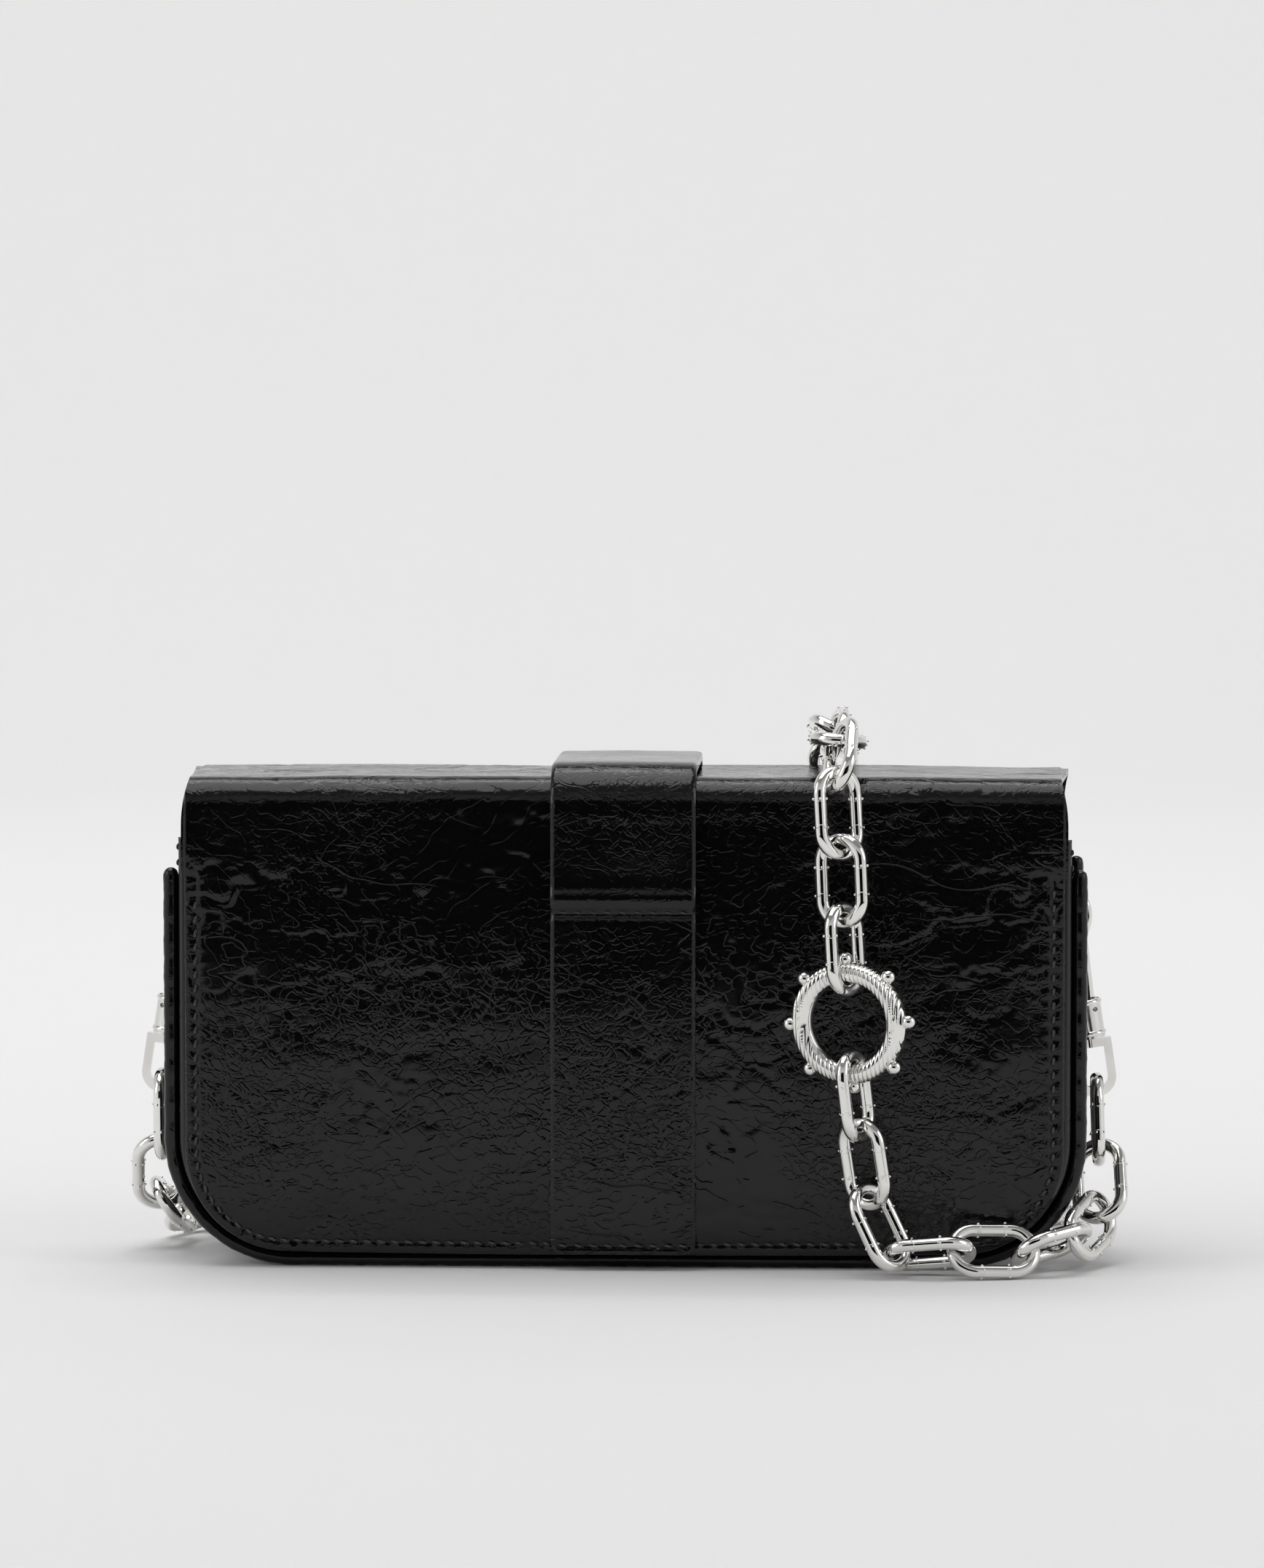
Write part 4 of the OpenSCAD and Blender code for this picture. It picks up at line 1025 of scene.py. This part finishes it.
# Chain. Oval links of polished round wire, soldered shut. Each long side is marked at a third and two
# thirds of its length with a fine line and a few raised dots round the wire.
def loose_parts(mesh):
    """Numbers of the vertices of each separate solid in a mesh."""
    places = np.round(np.array([v.co[:] for v in mesh.vertices]) / (0.001 * mm))
    _, spot = np.unique(places, axis=0, return_inverse=True)
    spot = spot.ravel()
    owner = np.arange(spot.max() + 1)
    edges = spot[np.array([edge.vertices[:] for edge in mesh.edges])]
    while True:
        low = np.minimum(owner[edges[:, 0]], owner[edges[:, 1]])
        new = owner.copy()
        np.minimum.at(new, edges[:, 0], low)
        np.minimum.at(new, edges[:, 1], low)
        new = new[new]
        if np.array_equal(new, owner):
            return [np.flatnonzero(owner[spot] == k) for k in np.unique(owner)]
        owner = new


def solid_axes(mesh, members):
    """Middle of a solid's surface and its long, wide and thin directions."""
    inside = np.zeros(len(mesh.vertices), bool)
    inside[members] = True
    mesh.calc_loop_triangles()
    corners = np.array([t.vertices[:] for t in mesh.loop_triangles])
    corners = corners[inside[corners[:, 0]]]
    co = np.array([v.co[:] for v in mesh.vertices])
    a, b, c = co[corners[:, 0]], co[corners[:, 1]], co[corners[:, 2]]
    area = np.linalg.norm(np.cross(b - a, c - a), axis=1)[:, None]
    centres = (a + b + c) / 3
    middle = (centres * area).sum(0) / area.sum()
    spread_out = ((centres - middle) * area).T @ (centres - middle)
    directions = np.linalg.eigh(spread_out)[1]
    return middle, directions[:, 2], directions[:, 1], directions[:, 0], co[members]


wire_r, link_half_w, link_third = 1.7 * mm, 5.9 * mm, 3.1 * mm
dot_r, dot_lift, dot_beside, dot_count = 0.36 * mm, 0.1 * mm, 0.55 * mm, 5


def marks(parts):
    """Dots and fine raised lines at the four stations of every link."""
    ball = bmesh.new()
    bmesh.ops.create_icosphere(ball, subdivisions=2, radius=dot_r)
    ball_points = np.array([v.co[:] for v in ball.verts])
    ball_faces = [tuple(v.index for v in f.verts) for f in ball.faces]
    ball.free()
    ring_count, points, faces = 32, [], []
    for middle, along, wide, thin, _ in parts:
        for side in (-1, 1):
            for station in (-1, 1):
                at = middle + side * link_half_w * wide + station * link_third * along
                for k in range(dot_count):
                    a = 2 * math.pi * (k + 0.25 * station) / dot_count
                    out = side * wide * math.cos(a) + thin * math.sin(a)
                    spot = at + out * (wire_r + dot_lift) + along * station * dot_beside
                    base = sum(len(p) for p in points)
                    points.append(ball_points + spot)
                    faces += [tuple(base + i for i in f) for f in ball_faces]
                base = sum(len(p) for p in points)
                turn = np.arange(ring_count) * 2 * np.pi / ring_count
                out = np.outer(np.cos(turn), wide) + np.outer(np.sin(turn), thin)
                for lift, shift in ((-0.05, -0.16), (0.07, 0), (-0.05, 0.16)):
                    points.append(at + out * (wire_r + lift * mm) + along * shift * mm)
                faces += join_rings(3, ring_count, base, closed=True)
    return np.concatenate(points), faces


flap_chain = ("chain_over_top", "chain_front")
for name in frame["nodes"]:
    if not name.startswith("chain_"):
        continue
    node = finish_node(name, chain_nickel)
    parts = [solid_axes(node.data, members) for members in loose_parts(node.data)]
    dots = new_piece(name + "_marks", *marks(parts))
    dots.data.materials.append(chain_nickel)
    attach(dots, "flap" if name in flap_chain else "body")


# Studded ring. A heavy cast ring joins the chain on the back. Upright lines are cut all over it, and
# eight small balls stand round its rim on short necks.
ring_node = frame["nodes"]["ornament_ring"]
ring_mid, _, _, ring_thin, ring_co = solid_axes(ring_node.data, np.arange(len(ring_node.data.vertices)))
ring_thin = ring_thin * math.copysign(1, -ring_thin[1])
ring_up = np.array((0, 0, 1.0)) - ring_thin * ring_thin[2]
ring_up /= np.linalg.norm(ring_up)
ring_side = np.cross(ring_up, ring_thin)
ring_r, ring_wire, stud_r, stud_at = 13.1 * mm, 2.75 * mm, 1.9 * mm, 16.5 * mm
line_gap, line_deep = 1.16 * mm, 0.36 * mm
flat_x, flat_y = (ring_co - ring_mid) @ ring_side, (ring_co - ring_mid) @ ring_up
rim = np.hypot(flat_x, flat_y) > stud_at + stud_r * 0.6
stud_turn = np.angle(np.exp(8j * np.arctan2(flat_y[rim], flat_x[rim])).sum()) / 8
round_count, section_count = ((720, 64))
ring_a, ring_b = np.meshgrid(np.arange(round_count) * 2 * np.pi / round_count,
                             np.arange(section_count) * 2 * np.pi / section_count, indexing="ij")
reach = ring_r + ring_wire * np.cos(ring_b)
across = reach * np.cos(ring_a) + 0.10 * ring_wire * np.sin(ring_b)
line = np.abs(across / line_gap - np.round(across / line_gap)) * line_gap
cut = line_deep * np.clip(1 - line / (0.34 * mm), 0, 1) ** 0.8
cut = cut * np.clip(0.25 + np.cos(ring_b) + np.abs(np.sin(ring_b)), 0, 1)
section = ring_wire - cut
outward = np.cos(ring_a)[..., None] * ring_side + np.sin(ring_a)[..., None] * ring_up
ring_points = ring_mid + (ring_r + section * np.cos(ring_b))[..., None] * outward
ring_points = list((ring_points + (section * np.sin(ring_b))[..., None] * ring_thin).reshape(-1, 3))
ring_faces = [(a, d, c, b) for a, b, c, d in join_rings(round_count, section_count, closed=True)]
neck_r, stud_rise = 1.15 * mm, 2.3 * mm
stud_profile = [(0.0001 * mm, 0), (neck_r, 0), (1.0 * mm, 0.9 * mm)]
stud_profile += [(stud_r * math.sin(a), stud_rise - stud_r * math.cos(a))
                 for a in np.linspace(0.65, math.pi - 0.02, 14)]
for k in range(8):
    a = stud_turn + k * math.pi / 4
    out = math.cos(a) * ring_side + math.sin(a) * ring_up
    place = Matrix.Translation(ring_mid + out * (stud_at - stud_rise))
    place = place @ Vector(out).to_track_quat("Z", "Y").to_matrix().to_4x4()
    points, faces = revolve(stud_profile, 24)
    base = len(ring_points)
    ring_points += [np.array(place @ Vector(p)) for p in points]
    ring_faces += [tuple(base + i for i in face) for face in faces]
ring_nickel = plated("ring_nickel", (0.82, 0.81, 0.78), 0.05, 0.11, 0.000003)
ring = new_piece("studded_ring", ring_points, ring_faces)
ring.data.materials.append(ring_nickel)
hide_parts("ornament_ring")
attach(ring, "ornament_ring")
